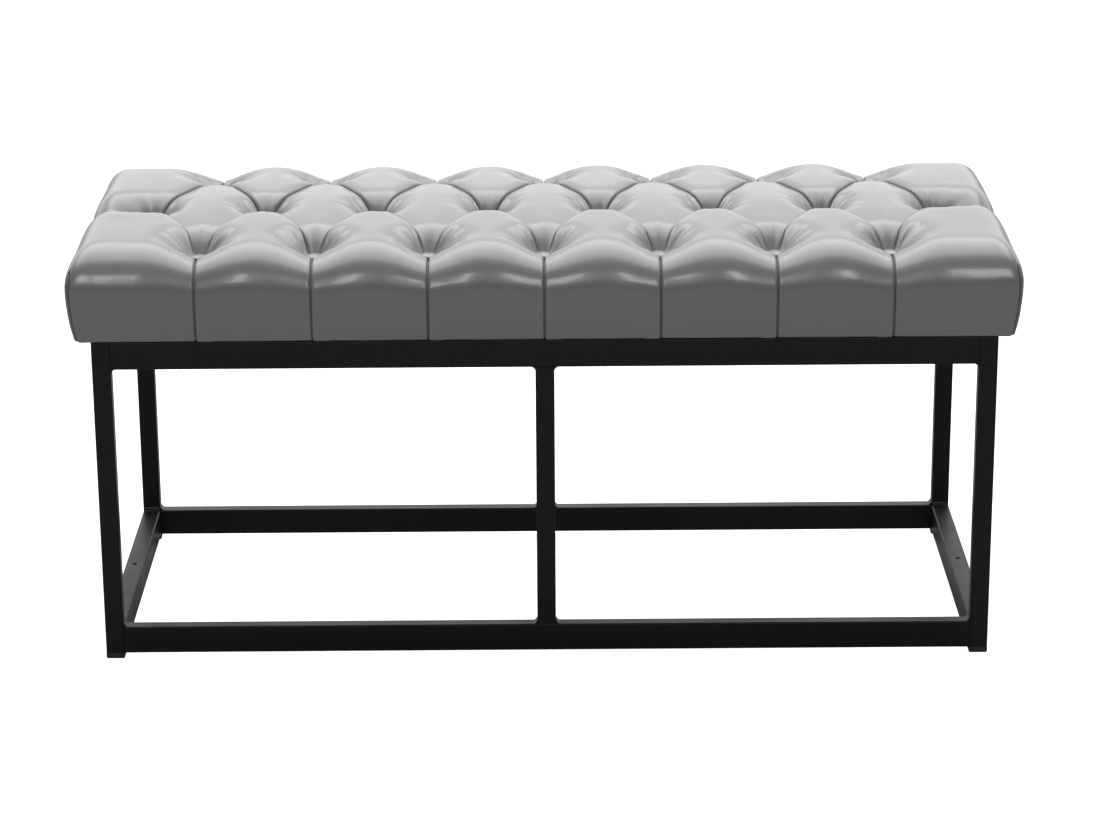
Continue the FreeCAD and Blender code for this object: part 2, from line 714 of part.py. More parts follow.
screw_x = (frame_length() - size("leg_width")) / 2
hem_level = cushion_bottom() - OVERRUN
screw_paths = feature("hem_screw_paths", Part.makeCompound([
    prism(Vector(x, 0, hem_level), size("screw_hole") / 2, tuft_sides, size("hem_thick") + 2 * OVERRUN)
    for x in (-screw_x, screw_x)
]))

doc.recompute()
hollows = (foam_space, board_space, hem_opening, screw_paths, button_pockets, cover_paths)
keep(feature("seat_cover", tufted_solid().cut([hollow.Shape for hollow in hollows])))


# Buttons and their cords


def button(point):
    """One covered button: a rim, a sloped edge and a flat face."""
    sides = int(size("button_sides"))
    rim = size("button_rim")
    top = rim + size("button_rise")
    rings = []
    for half_width, level in (("button_radius", 0.0), ("button_radius", rim), ("button_flat", top)):
        corner = size(half_width) / math.cos(math.pi / sides)
        turns = [2 * math.pi * i / sides for i in range(sides)]
        ring = [point + Vector(corner * math.cos(turn), corner * math.sin(turn), level) for turn in turns]
        rings.append(Part.makePolygon(ring + ring[:1]))
    return Part.makeLoft(rings, True, True)


keep(feature("covered_buttons", Part.makeCompound([button(point) for point in button_points()])))
keep(prisms("button_cords", size("cord_radius"), cord_sides,
            lambda point: board_bottom(), lambda point: point.z))


# Dust cover under the board

dust_cover = keep(doc.addObject("Part::Box", "dust_cover"))
dust_cover_length = f"({BOARD_LENGTH} - 2 * Sizes.hem_width - 2 * Sizes.soft_gap)"
dust_cover_depth = f"({BOARD_DEPTH} - 2 * Sizes.hem_width - 2 * Sizes.soft_gap)"
dust_cover.setExpression("Length", dust_cover_length)
dust_cover.setExpression("Width", dust_cover_depth)
dust_cover.setExpression("Height", "Sizes.dust_cover_thick")
place(dust_cover, x=f"-{dust_cover_length} / 2", y=f"-{dust_cover_depth} / 2",
      z=f"{BOARD_BOTTOM} - Sizes.soft_gap - Sizes.dust_cover_thick")


# Seat screws and the threaded inserts in the board


def at_screws(name, shape):
    """A group of one shape at each seat screw."""
    copies = [shape.translated(Vector(x, 0, 0)) for x in (-screw_x, screw_x)]
    return keep(feature(name, Part.makeCompound(copies)))


def disc(diameter, level, height):
    """A round disc or shank about the Z axis, from a level up."""
    return Part.makeCylinder(diameter / 2, height, Vector(0, 0, level))


rail_underside = frame_height() - size("rail_height")
head = disc(size("screw_head"), rail_underside - size("screw_head_height"), size("screw_head_height"))
at_screws("seat_screws", head.fuse(disc(size("screw_shank"), rail_underside, size("screw_length"))))

insert = disc(size("insert_diameter"), board_bottom(), size("insert_length"))
thread_bore = size("screw_shank") + 2 * size("thread_gap")
thread = disc(thread_bore, board_bottom() - OVERRUN, size("insert_length") + 2 * OVERRUN)
at_screws("threaded_inserts", insert.cut(thread))


# Check every object, then write one file for each sub-part

doc.recompute()
for item in doc.Objects:
    if "Invalid" in item.State or "Error" in item.State:
        raise RuntimeError(f"{item.Name} failed: {item.State}")

os.makedirs("parts", exist_ok=True)
for piece in sub_parts:
    shape = piece.Shape
    if shape.isNull() or not shape.isValid() or not shape.Solids:
        raise RuntimeError(f"{piece.Name} has no valid solid")
    shape.exportStep(f"parts/{piece.Label}.step")
    print(f"{piece.Label}: {len(shape.Solids)} solid(s), {shape.Volume / 1000:.1f} cm3")
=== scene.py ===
"""Deep-buttoned bench: the looks of its tufted seat, its welded steel frame and its underside.

Metres, +Z up, +X along the length, -Y to the front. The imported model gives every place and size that
the pieces share with what carries them.
"""

from __future__ import annotations

import logging
import math
from dataclasses import dataclass, field
from enum import Enum

import bmesh
import bpy
import numpy as np
from mathutils import Matrix, Vector


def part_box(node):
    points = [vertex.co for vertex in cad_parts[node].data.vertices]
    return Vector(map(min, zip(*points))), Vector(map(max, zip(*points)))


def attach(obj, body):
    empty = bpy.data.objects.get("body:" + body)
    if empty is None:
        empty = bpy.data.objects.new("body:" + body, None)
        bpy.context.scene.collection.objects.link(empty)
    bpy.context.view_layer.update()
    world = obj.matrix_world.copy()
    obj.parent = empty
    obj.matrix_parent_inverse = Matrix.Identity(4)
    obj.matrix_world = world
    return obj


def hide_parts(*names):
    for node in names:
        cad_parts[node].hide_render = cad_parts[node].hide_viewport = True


LOG = logging.getLogger("bench")
Colour = tuple[float, float, float]


class Row(Enum):
    """A row of buttons, named by where it lies across the depth."""

    FRONT = -1
    MIDDLE = 0
    BACK = 1


class Noise:
    """Smooth noise between -1 and 1 from a lattice of fixed random values."""

    def __init__(self, seed: int, cells: int = 64) -> None:
        """Makes the lattice.

        Args:
            seed: Fixes the random values.
            cells: Lattice cells before the pattern repeats.
        """
        self.cells = cells
        self.values = np.random.default_rng(seed).uniform(-1.0, 1.0, (cells, cells))

    def at(self, u: np.ndarray, v: np.ndarray) -> np.ndarray:
        """Reads the noise.

        Args:
            u: First coordinate, in lattice cells.
            v: Second coordinate, in lattice cells.

        Returns:
            The noise at each place.
        """
        i, j = np.floor(u).astype(int), np.floor(v).astype(int)
        a, b = u - i, v - j
        a, b = a * a * (3 - 2 * a), b * b * (3 - 2 * b)
        i, j, n = i % self.cells, j % self.cells, self.cells
        low = self.values[i, j] * (1 - a) + self.values[(i + 1) % n, j] * a
        high = self.values[i, (j + 1) % n] * (1 - a) + self.values[(i + 1) % n, (j + 1) % n] * a
        return low * (1 - b) + high * b


def smooth_step(low: float, high: float, value: np.ndarray) -> np.ndarray:
    """0 up to low, 1 from high on, and a smooth rise between."""
    share = np.clip((value - low) / (high - low), 0.0, 1.0)
    return share * share * (3 - 2 * share)


def add_object(name: str, data: bpy.types.ID) -> bpy.types.Object:
    """Puts data into the scene as an object."""
    made = bpy.data.objects.new(name, data)
    bpy.context.scene.collection.objects.link(made)
    return made


def mesh_object(name: str, points: np.ndarray, faces: list[tuple[int, ...]],
                smooth: bool = True) -> bpy.types.Object:
    """Makes a mesh object in the scene.

    Args:
        name: The object's name.
        points: One row of three coordinates for each vertex.
        faces: Vertex numbers of each face.
        smooth: Whether its faces are shaded smooth.

    Returns:
        The new object.
    """
    mesh = bpy.data.meshes.new(name)
    mesh.from_pydata(points.tolist(), [], faces)
    mesh.validate()
    mesh.polygons.foreach_set("use_smooth", [smooth] * len(mesh.polygons))
    mesh.update()
    return add_object(name, mesh)


def fill(node: bpy.types.Node, values: dict[str, object]) -> None:
    """Sets a node's inputs by label."""
    for label, value in values.items():
        node.inputs[label].default_value = value


def dress(piece: bpy.types.Object, material: bpy.types.Material) -> None:
    """Gives a piece one material on all its faces.

    Args:
        piece: The piece.
        material: Its material.
    """
    if piece.material_slots:
        for slot in piece.material_slots:
            slot.link = "OBJECT"
            slot.material = material
    else:
        piece.data.materials.append(material)


@dataclass
class NodeWork:
    """A node tree under construction."""

    tree: bpy.types.NodeTree

    def node(self, kind: str, **settings: object) -> bpy.types.Node:
        """Adds a node and sets its own settings.

        Args:
            kind: The node's type.
            settings: Its settings by name.

        Returns:
            The new node.
        """
        made = self.tree.nodes.new(kind)
        for name, value in settings.items():
            setattr(made, name, value)
        return made

    def link(self, out: bpy.types.NodeSocket, into: bpy.types.NodeSocket) -> None:
        """Joins two sockets."""
        self.tree.links.new(out, into)


class Shades(NodeWork):
    """A material or world under construction."""

    @classmethod
    def new(cls, name: str) -> tuple[bpy.types.Material, "Shades", bpy.types.Node]:
        """Starts a material.

        Args:
            name: The material's name.

        Returns:
            The material, its shades and its Principled BSDF.
        """
        material = bpy.data.materials.new(name)
        material.use_nodes = True
        return material, cls(material.node_tree), material.node_tree.nodes["Principled BSDF"]

    def where(self) -> bpy.types.NodeSocket:
        """The piece's own coordinates."""
        return self.node("ShaderNodeTexCoord").outputs["Object"]

    def place(self, group: bpy.types.NodeTree, where: bpy.types.NodeSocket,
              values: dict[str, float]) -> bpy.types.Node:
        """Places a shared group.

        Args:
            group: The group.
            where: The coordinates that it reads.
            values: Its other inputs by name.

        Returns:
            The group's node.
        """
        made = self.node("ShaderNodeGroup", node_tree=group)
        self.link(where, made.inputs["Vector"])
        fill(made, values)
        return made

    def noise(self, where: bpy.types.NodeSocket, scale: float, detail: float,
              roughness: float) -> bpy.types.NodeSocket:
        """Adds a noise texture.

        Args:
            where: The coordinates that it reads.
            scale: Its features for each metre.
            detail: How many finer layers it has.
            roughness: How strong the finer layers are.

        Returns:
            Its value.
        """
        made = self.node("ShaderNodeTexNoise")
        self.link(where, made.inputs["Vector"])
        fill(made, {"Scale": scale, "Detail": detail, "Roughness": roughness})
        return made.outputs["Fac"]

    def range(self, value: bpy.types.NodeSocket, source: tuple[float, float],
              target: tuple[float, float]) -> bpy.types.NodeSocket:
        """Maps a value from one range to another, held inside it.

        Args:
            value: The value.
            source: The ends of its range.
            target: The ends of the new range.

        Returns:
            The new value.
        """
        made = self.node("ShaderNodeMapRange", interpolation_type="SMOOTHSTEP")
        self.link(value, made.inputs["Value"])
        fill(made, {"From Min": source[0], "From Max": source[1], "To Min": target[0], "To Max": target[1]})
        return made.outputs["Result"]

    def blend(self, share: bpy.types.NodeSocket, first: Colour, second: Colour) -> bpy.types.NodeSocket:
        """Mixes two colours.

        Args:
            share: The second colour's share.
            first: The first colour.
            second: The second colour.

        Returns:
            The mixed colour.
        """
        made = self.node("ShaderNodeMix", data_type="RGBA")
        self.link(share, made.inputs["Factor"])
        fill(made, {"A": (*first, 1.0), "B": (*second, 1.0)})
        return made.outputs["Result"]

    def sum(self, first: bpy.types.NodeSocket, second: bpy.types.NodeSocket,
            weight: float) -> bpy.types.NodeSocket:
        """Adds a weighted second value to a first one.

        Args:
            first: The first value.
            second: The second value.
            weight: The second value's weight.

        Returns:
            The sum.
        """
        made = self.node("ShaderNodeMath", operation="MULTIPLY_ADD")
        self.link(second, made.inputs[0])
        made.inputs[1].default_value = weight
        self.link(first, made.inputs[2])
        return made.outputs[0]

    def bump(self, height: bpy.types.NodeSocket, distance: float, strength: float) -> bpy.types.NodeSocket:
        """Makes a normal from a height map.

        Args:
            height: The height map.
            distance: The height of its full range, in metres.
            strength: How much of it shows.

        Returns:
            The normal.
        """
        made = self.node("ShaderNodeBump")
        self.link(height, made.inputs["Height"])
        fill(made, {"Distance": distance, "Strength": strength})
        return made.outputs["Normal"]


class SurfaceGroups:
    """The shader node groups that several materials share."""

    def __init__(self) -> None:
        """Builds each group once."""
        self.mottle = self._mottle()
        self.pores = self._pores()

    @staticmethod
    def _start(name: str, inputs: dict[str, float],
               outputs: tuple[str, ...]) -> tuple[bpy.types.NodeTree, bpy.types.Node, bpy.types.Node]:
        """Starts a group with a Vector input.

        Args:
            name: The group's name.
            inputs: Its float inputs and their usual values.
            outputs: Its float outputs.

        Returns:
            The group and the nodes of its inputs and outputs.
        """
        group = bpy.data.node_groups.new(name, "ShaderNodeTree")
        group.interface.new_socket("Vector", in_out="INPUT", socket_type="NodeSocketVector")
        for label, value in inputs.items():
            socket = group.interface.new_socket(label, in_out="INPUT", socket_type="NodeSocketFloat")
            socket.default_value = value
        for label in outputs:
            group.interface.new_socket(label, in_out="OUTPUT", socket_type="NodeSocketFloat")
        return group, group.nodes.new("NodeGroupInput"), group.nodes.new("NodeGroupOutput")

    def _mottle(self) -> bpy.types.NodeTree:
        """Slow cloudy variation, as of handling and dye, with a finer layer beside it."""
        group, given, result = self._start("mottle", {"Scale": 8.0, "Fine Scale": 60.0}, ("Cloud", "Fine"))
        for label, source, detail in (("Cloud", "Scale", 2.0), ("Fine", "Fine Scale", 4.0)):
            noise = group.nodes.new("ShaderNodeTexNoise")
            noise.inputs["Detail"].default_value = detail
            group.links.new(given.outputs["Vector"], noise.inputs["Vector"])
            group.links.new(given.outputs[source], noise.inputs["Scale"])
            group.links.new(noise.outputs["Fac"], result.inputs[label])
        return group

    def _pores(self) -> bpy.types.NodeTree:
        """Fine pebbled relief: cells with narrow valleys between them."""
        group, given, result = self._start("pebbled relief", {"Scale": 900.0, "Valley": 0.35}, ("Height",))
        cells = group.nodes.new("ShaderNodeTexVoronoi")
        cells.feature = "DISTANCE_TO_EDGE"
        group.links.new(given.outputs["Vector"], cells.inputs["Vector"])
        group.links.new(given.outputs["Scale"], cells.inputs["Scale"])
        level = group.nodes.new("ShaderNodeMapRange")
        level.interpolation_type = "SMOOTHSTEP"
        group.links.new(cells.outputs["Distance"], level.inputs["Value"])
        group.links.new(given.outputs["Valley"], level.inputs["From Max"])
        group.links.new(level.outputs["Result"], result.inputs["Height"])
        return group


@dataclass(frozen=True)
class LeatherFinish:
    """Smooth glossy upholstery leather."""

    groups: SurfaceGroups
    colour: Colour = (0.142, 0.142, 0.144)
    pale: Colour = (0.156, 0.156, 0.158)
    roughness: float = 0.30
    roughness_drift: float = 0.02
    pore_scale: float = 1100.0
    crease_scale: float = 70.0
    crease_weight: float = 5.0
    relief: float = 0.00006
    relief_strength: float = 0.35
    coat: float = 0.3
    coat_roughness: float = 0.14

    def material(self) -> bpy.types.Material:
        """Builds the material."""
        made, shades, surface = Shades.new("grey leather")
        where = shades.where()
        mottle = shades.place(self.groups.mottle, where, {"Scale": 7.0, "Fine Scale": 90.0})
        pores = shades.place(self.groups.pores, where, {"Scale": self.pore_scale})
        colour = shades.blend(mottle.outputs["Cloud"], self.colour, self.pale)
        shades.link(colour, surface.inputs["Base Color"])
        ends = (self.roughness - self.roughness_drift, self.roughness + self.roughness_drift)
        shades.link(shades.range(mottle.outputs["Fine"], (0.0, 1.0), ends), surface.inputs["Roughness"])
        creases = shades.noise(where, self.crease_scale, 2.0, 0.4)
        relief = shades.sum(pores.outputs["Height"], creases, self.crease_weight)
        shades.link(shades.bump(relief, self.relief, self.relief_strength), surface.inputs["Normal"])
        fill(surface, {"Coat Weight": self.coat, "Coat Roughness": self.coat_roughness})
        return made


@dataclass(frozen=True)
class MottledFinish:
    """A finish with a cloudy colour and roughness and a fine relief: powder coat, plastic, steel, cloth."""

    groups: SurfaceGroups
    name: str
    colour: Colour
    pale: Colour
    roughness: float
    grain_scale: float
    grain_depth: float
    metallic: float = 0.0
    cloud_scale: float = 25.0
    colour_layer: str = "Fine"
    grain_strength: float = 0.5
    roughness_drift: tuple[float, float] = (0.05, 0.05)
    specular: float = 0.5

    def material(self) -> bpy.types.Material:
        """Builds the material."""
        made, shades, surface = Shades.new(self.name)
        scales = {"Scale": self.cloud_scale, "Fine Scale": self.grain_scale}
        mottle = shades.place(self.groups.mottle, shades.where(), scales)
        colour = shades.blend(mottle.outputs[self.colour_layer], self.colour, self.pale)
        shades.link(colour, surface.inputs["Base Color"])
        ends = (self.roughness - self.roughness_drift[0], self.roughness + self.roughness_drift[1])
        shades.link(shades.range(mottle.outputs["Cloud"], (0.3, 0.7), ends), surface.inputs["Roughness"])
        relief = shades.bump(mottle.outputs["Fine"], self.grain_depth, self.grain_strength)
        shades.link(relief, surface.inputs["Normal"])
        fill(surface, {"Metallic": self.metallic, "Specular IOR Level": self.specular})
        return made


@dataclass(frozen=True)
class SeatPlan:
    """The untufted seat, a rounded block, and where its buttons lie."""

    length: float = 1.000
    depth: float = 0.400
    bottom: float = 0.3573
    top: float = 0.460
    crown_rise: float = 0.0025
    swell_height: float = 0.055
    draw_in: float = 0.0095
    shoulder_run: float = 0.054
    end_run: float = 0.034
    corner_power: float = 8.0
    end_turn: float = 0.018
    end_margin: float = 0.07475
    side_margin: float = 0.070
    row_buttons: int = 7
    sink: float = 0.030

    @property
    def pitch(self) -> float:
        """Half the distance between two buttons of a row."""
        return (self.length - 2 * self.end_margin) / (2 * self.row_buttons)

    @property
    def last(self) -> float:
        """Distance of the middle row's last buttons from the middle."""
        return self.row_buttons * self.pitch

    @property
    def row_y(self) -> float:
        """Distance of the outer rows from the middle one."""
        return self.depth / 2 - self.side_margin

    @property
    def across(self) -> float:
        """Distance of a button from the pleat opposite, square to it."""
        return self.pitch * self.row_y / math.hypot(self.pitch, self.row_y)

    @property
    def flat_y(self) -> float:
        """Half the depth of the top between its shoulders."""
        return self.depth / 2 - self.shoulder_run

    @property
    def flat_x(self) -> float:
        """Half the length of the top between its rounded ends."""
        return self.length / 2 - self.end_run

    @property
    def rise(self) -> float:
        """Height of the shoulders above the widest line."""
        return self.top - self.crown_rise - self.bottom - self.swell_height

    @property
    def widest(self) -> float:
        """Level of the widest line."""
        return self.bottom + self.swell_height

    @property
    def front_reach(self) -> float:
        """Length over the edge from an outer row down to the hem."""
        return self.flat_y + self.bend(self.shoulder_run) + self.swell_height - self.row_y

    @property
    def end_reach(self) -> float:
        """Length over the end from the last button down to the hem."""
        return self.flat_x + self.bend(self.end_run) + self.swell_height - self.last

    def bend(self, run: float) -> float:
        """Length round a shoulder of a given run."""
        return math.pi / 2 * math.sqrt((run * run + self.rise * self.rise) / 2)

    def crown_drop(self, y: np.ndarray) -> np.ndarray:
        """How far the crests lie below the highest one."""
        radius = (self.flat_y ** 2 + self.crown_rise ** 2) / (2 * self.crown_rise)
        return radius - np.sqrt(radius * radius - y * y)

    def buttons(self, row: Row) -> list[Vector]:
        """Places a row's buttons.

        Args:
            row: The row.

        Returns:
            The middle of each button's underside.
        """
        count = self.row_buttons + (1 if row is Row.MIDDLE else 0)
        y = row.value * self.row_y
        level = self.top - float(self.crown_drop(np.array(y))) - self.sink
        return [Vector(((2 * i - count + 1) * self.pitch, y, level)) for i in range(count)]

    def steps(self, s: np.ndarray) -> np.ndarray:
        """Counts half pitches from the nearest button of the middle row.

        Args:
            s: Distance along the length.

        Returns:
            The count, not rounded.
        """
        count = self.row_buttons
        ahead = np.abs(s) / self.pitch
        nearest = 2 * np.round((ahead - count % 2) / 2) + count % 2
        return np.where(ahead > count, ahead - count, np.abs(ahead - np.minimum(nearest, count)))


@dataclass(frozen=True)
class Spots:
    """Places on the leather, told by the buttons and pleats near them.

    s runs along the length over the top and down the ends, t across the depth over the top and down the
    front and back.
    """

    plan: SeatPlan
    s: np.ndarray
    t: np.ndarray

    @property
    def past(self) -> np.ndarray:
        """Whether they lie beyond the last button of the middle row."""
        return np.abs(self.s) > self.plan.last

    @property
    def step(self) -> np.ndarray:
        """Half pitches from the nearest middle button, from 0 to 1."""
        return np.where(self.past, 0.0, np.minimum(self.plan.steps(self.s), 1.0))

    @property
    def deep(self) -> np.ndarray:
        """Share of the way from the middle row to an outer one."""
        return np.abs(self.t) / self.plan.row_y

    @property
    def beyond(self) -> np.ndarray:
        """Distance past the outer row."""
        return np.maximum(np.abs(self.t) - self.plan.row_y, 0.0)

    @property
    def to_outer(self) -> np.ndarray:
        """Distance along the length from the nearest outer button."""
        return (1 - self.step) * self.plan.pitch

    @property
    def end_ease(self) -> np.ndarray:
        """How far the end pleats have turned to run straight out, from 0 to 1."""
        return smooth_step(0.0, self.plan.end_turn, np.abs(self.s) - self.plan.last)

    @property
    def apart(self) -> np.ndarray:
        """Distance from the nearest pleat."""
        across, ease = self.plan.across, self.end_ease
        straight = np.abs(self.t) * (across / self.plan.row_y * (1 - ease) + ease)
        return np.where(self.past, straight, np.abs(self.deep - self.step) * across)


@dataclass(frozen=True)
class Tufting:
    """How buttons and pleats draw the leather in, how tufts lap, and how the leather wrinkles."""

    plan: SeatPlan
    button_rest: float = 0.0095
    rest_fade: float = 0.030
    funnel_power: float = 3.1
    edge_funnel_power: float = 2.2
    edge_start: float = 0.7
    pleat_fade: float = 2.1
    pleat_flare: float = 0.6
    hem_dent: float = 0.0008
    valley: float = 0.0065
    valley_power: float = 2.2
    shoulder_valley: float = 0.0015
    crease_depth: float = 0.0058
    crease_width: float = 0.0008
    crease_power: float = 1.3
    wall_crease: float = 0.0038
    corner_fold: float = 0.0070
    corner_fold_turn: float = 2.0
    corner_fold_direction: float = 43.5
    corner_fold_levels: tuple[float, float] = (0.85, 0.45)
    slant_fade: float = 0.25
    end_valley_fade: tuple[float, float] = (0.25, 0.75)
    end_fold_start: tuple[float, float] = (0.2, 0.5)
    lip_round: float = 0.0034
    lip_power: float = 1.5
    lip_reach: float = 0.0026
    lip_place: float = 0.0022
    lip_clear: tuple[float, float] = (0.012, 0.040)
    flap_width: float = 0.017
    flap_drop: float = 0.0014
    flap_fade: float = 0.002
    flap_start: tuple[float, float] = (-0.0004, 0.0006)
    flap_levels: tuple[float, float] = (0.030, 0.050)
    slow_height: float = 0.0006
    slow_cell: tuple[float, float] = (0.055, 0.060)
    fine_height: float = 0.00010
    fine_cell: tuple[float, float] = (0.014, 0.022)
    still_level: float = 0.05
    still_fade: float = 0.03
    gather_height: float = 0.00042
    gather_distance: float = 0.024
    gather_spread: float = 0.015
    gather_twist: float = 30.0
    gather_counts: tuple[int, ...] = (9, 13, 18)
    slow: Noise = field(default_factory=lambda: Noise(11))
    fine: Noise = field(default_factory=lambda: Noise(23))

    def crease(self, distance: np.ndarray) -> np.ndarray:
        """The narrow fold along a pleat, from 1 in the fold to 0 beside it."""
        return np.exp(-(np.abs(distance) / self.crease_width) ** self.crease_power)

    def lip(self, distance: np.ndarray) -> np.ndarray:
        """The rounded lip of the tuft that lies over a pleat, from 1 in the fold to 0 beside it."""
        return np.exp(-(np.abs(distance) / self.lip_round) ** self.lip_power)

    def funnel(self, spots: Spots, away: np.ndarray) -> np.ndarray:
        """How far the leather sinks towards a button.

        Args:
            spots: The places.
            away: Their distances from the button.

        Returns:
            The funnel's share of its full depth.
        """
        at_edge = smooth_step(self.edge_start, 1.0, spots.deep)
        power = self.funnel_power + (self.edge_funnel_power - self.funnel_power) * at_edge
        rest = self.button_rest * smooth_step(self.rest_fade, 0.0, spots.beyond)
        return np.clip(1 - np.maximum(away - rest, 0.0) / (self.plan.pitch - rest), 0.0, 1.0) ** power

    def dimple(self, spots: Spots) -> np.ndarray:
        """The deeper one of the funnels of the nearest middle and outer buttons."""
        row_y = self.plan.row_y
        inside = np.minimum(np.abs(spots.t), row_y)
        to_middle = np.where(spots.past, 0.0, spots.step * self.plan.pitch)
        return np.maximum(self.funnel(spots, np.hypot(to_middle, inside)),
                          self.funnel(spots, np.hypot(spots.to_outer, row_y - inside)))

    def pleats(self, spots: Spots) -> np.ndarray:
        """The valley and the narrow fold along each pleat.

        Args:
            spots: The places.

        Returns:
            The depth. A middle tuft runs down into its valley, and an outer one ends in a round lip.
        """
        apart, ease = spots.apart, spots.end_ease
        share = np.clip(1 - apart / self.plan.across, 0.0, 1.0)
        under = self.valley * share ** self.valley_power
        over = self.shoulder_valley * share ** 3 + (self.valley - self.shoulder_valley) * self.lip(apart)
        even = 0.5 * (under + over)
        between = np.where(spots.deep < spots.step, under, over)
        depth = np.where(spots.past, over * (1 - ease) + even * ease, between)
        return depth + self.crease_depth * self.crease(apart)

    def over_walls(self, spots: Spots, pleat: np.ndarray, dimple: np.ndarray) -> np.ndarray:
        """The upright pleats that run from the outer buttons over the edge down to the hem.

        Args:
            spots: The places.
            pleat: The depth of the slanting pleats there.
            dimple: The funnels' share there.

        Returns:
            The depth.
        """
        reach, to_outer = self.plan.front_reach, spots.to_outer
        side = self.pleat_flare * to_outer
        down = np.clip((np.hypot(spots.beyond, side) - side) / reach, 0.0, 1.0)
        upright = self.hem_dent + (self.plan.sink - self.hem_dent) * (1 - down) ** self.pleat_fade
        near_hem = np.clip(spots.beyond / reach, 0.0, 1.0)
        fold = self.wall_crease + (self.crease_depth - self.wall_crease) * (1 - near_hem) ** 2
        walls = upright * self.funnel(spots, to_outer) + fold * self.crease(to_outer)
        slanting = pleat * (1 - smooth_step(0.0, self.slant_fade, near_hem)) * (1 - dimple)
        return np.where(spots.past, 0.0, walls) + slanting * (to_outer > self.crease_width * 3)

    def over_ends(self, spots: Spots, pleat: np.ndarray) -> np.ndarray:
        """The pleat that runs from the last middle button out over the end.

        Args:
            spots: The places.
            pleat: The depth of the pleats there.

        Returns:
            The depth.
        """
        out = np.clip((np.abs(spots.s) - self.plan.last) / self.plan.end_reach, 0.0, 1.0)
        lengthways = self.hem_dent + (self.plan.sink - self.hem_dent) * (1 - out) ** self.pleat_fade
        funnel = self.funnel(spots, np.abs(spots.t))
        valley = pleat * (1 - smooth_step(*self.end_valley_fade, out)) * (1 - funnel)
        fold = self.wall_crease * smooth_step(*self.end_fold_start, out) * self.crease(spots.t)
        return np.where(spots.deep > 1, 0.0, lengthways * funnel + valley + fold)

    def pull_in(self, s: np.ndarray, t: np.ndarray) -> np.ndarray:
        """How far the leather is drawn in at each place.

        Args:
            s: Distance along the length over the top and down the ends.
            t: Distance across the depth over the top and down the front and back.

        Returns:
            The depth, square to the untufted form.
        """
        spots = Spots(self.plan, s, t)
        dimple, pleat = self.dimple(spots), self.pleats(spots)
        top = self.plan.sink * dimple + pleat * (1 - dimple)
        depth = np.where(spots.deep > 1, self.over_walls(spots, pleat, dimple), top)
        return np.where(spots.past, self.over_ends(spots, pleat), depth)

    def lap(self, s: np.ndarray, t: np.ndarray) -> tuple[np.ndarray, np.ndarray]:
        """How far an outer tuft's lip leans over the pleat beside it.

        Args:
            s: Distance along the length.
            t: Distance across the depth.

        Returns:
            The shift along the length and across the depth.
        """
        plan = self.plan
        step, deep = plan.steps(s), np.abs(t) / plan.row_y
        apart = np.maximum(deep - step, 0.0) * plan.across
        from_middle = np.hypot(step * plan.pitch, t)
        from_outer = np.hypot((1 - step) * plan.pitch, np.abs(t) - plan.row_y)
        clear = smooth_step(*self.lip_clear, np.minimum(from_middle, from_outer))
        hump = np.exp(-((apart - self.lip_place) / self.lip_place) ** 2)
        outer = (np.abs(s) < plan.last) & (deep < 1) & (deep > step)
        lean = np.where(outer, self.lip_reach * clear * hump, 0.0)
        slope = np.sign(plan.steps(np.abs(s) + 1e-5) - plan.steps(np.abs(s) - 1e-5)) * np.sign(s)
        slant = math.hypot(plan.pitch, plan.row_y)
        return lean * slope * plan.row_y / slant, -lean * np.sign(t) * plan.pitch / slant

    def flap(self, s: np.ndarray) -> np.ndarray:
        """How far the folded leather beside each upright pleat hangs below the bottom edge.

        Args:
            s: Distance along the length.

        Returns:
            The drop. The flap lies on the side of the pleat that faces the middle.
        """
        hang = np.zeros_like(s)
        for spot in self.plan.buttons(Row.FRONT):
            toward = -math.copysign(1.0, spot.x) if abs(spot.x) > 1e-6 else 1.0
            beside = (s - spot.x) * toward
            far_end = smooth_step(self.flap_width + self.flap_fade, self.flap_width, beside)
            hang = np.maximum(hang, smooth_step(*self.flap_start, beside) * far_end)
        return self.flap_drop * hang

    def corner_depth(self, ends: np.ndarray, sides: np.ndarray, up: np.ndarray) -> np.ndarray:
        """The fold down each corner.

        Args:
            ends: Lean towards an end.
            sides: Lean towards the front or back.
            up: Lean upwards.

        Returns:
            The depth.
        """
        turn = np.degrees(np.arctan2(np.abs(ends), np.abs(sides) + 1e-9))
        away = (turn - self.corner_fold_direction) / self.corner_fold_turn
        return self.corner_fold * np.exp(-away ** 2) * smooth_step(*self.corner_fold_levels, up)

    def wrinkles(self, s: np.ndarray, t: np.ndarray) -> np.ndarray:
        """The gathers round each button and the slow unevenness of hand-pulled leather.

        Args:
            s: Distance along the length.
            t: Distance across the depth.

        Returns:
            The height.
        """
        height = self.slow_height * self.slow.at(s / self.slow_cell[0] + 7.3, t / self.slow_cell[1] + 3.1)
        height += self.fine_height * self.fine.at(s / self.fine_cell[0] + 1.7, t / self.fine_cell[1] + 5.2)
        rng = np.random.default_rng(5)
        for row in Row:
            for spot in self.plan.buttons(row):
                du, dv = s - spot.x, t - spot.y
                away = np.hypot(du, dv)
                turn = np.arctan2(dv, du)
                near = np.exp(-((away - self.gather_distance) / self.gather_spread) ** 2)
                for count in self.gather_counts:
                    start = rng.uniform(0, 2 * math.pi)
                    twist = rng.uniform(-self.gather_twist, self.gather_twist)
                    height += self.gather_height * near * np.cos(count * turn + start + twist * away)
        return height


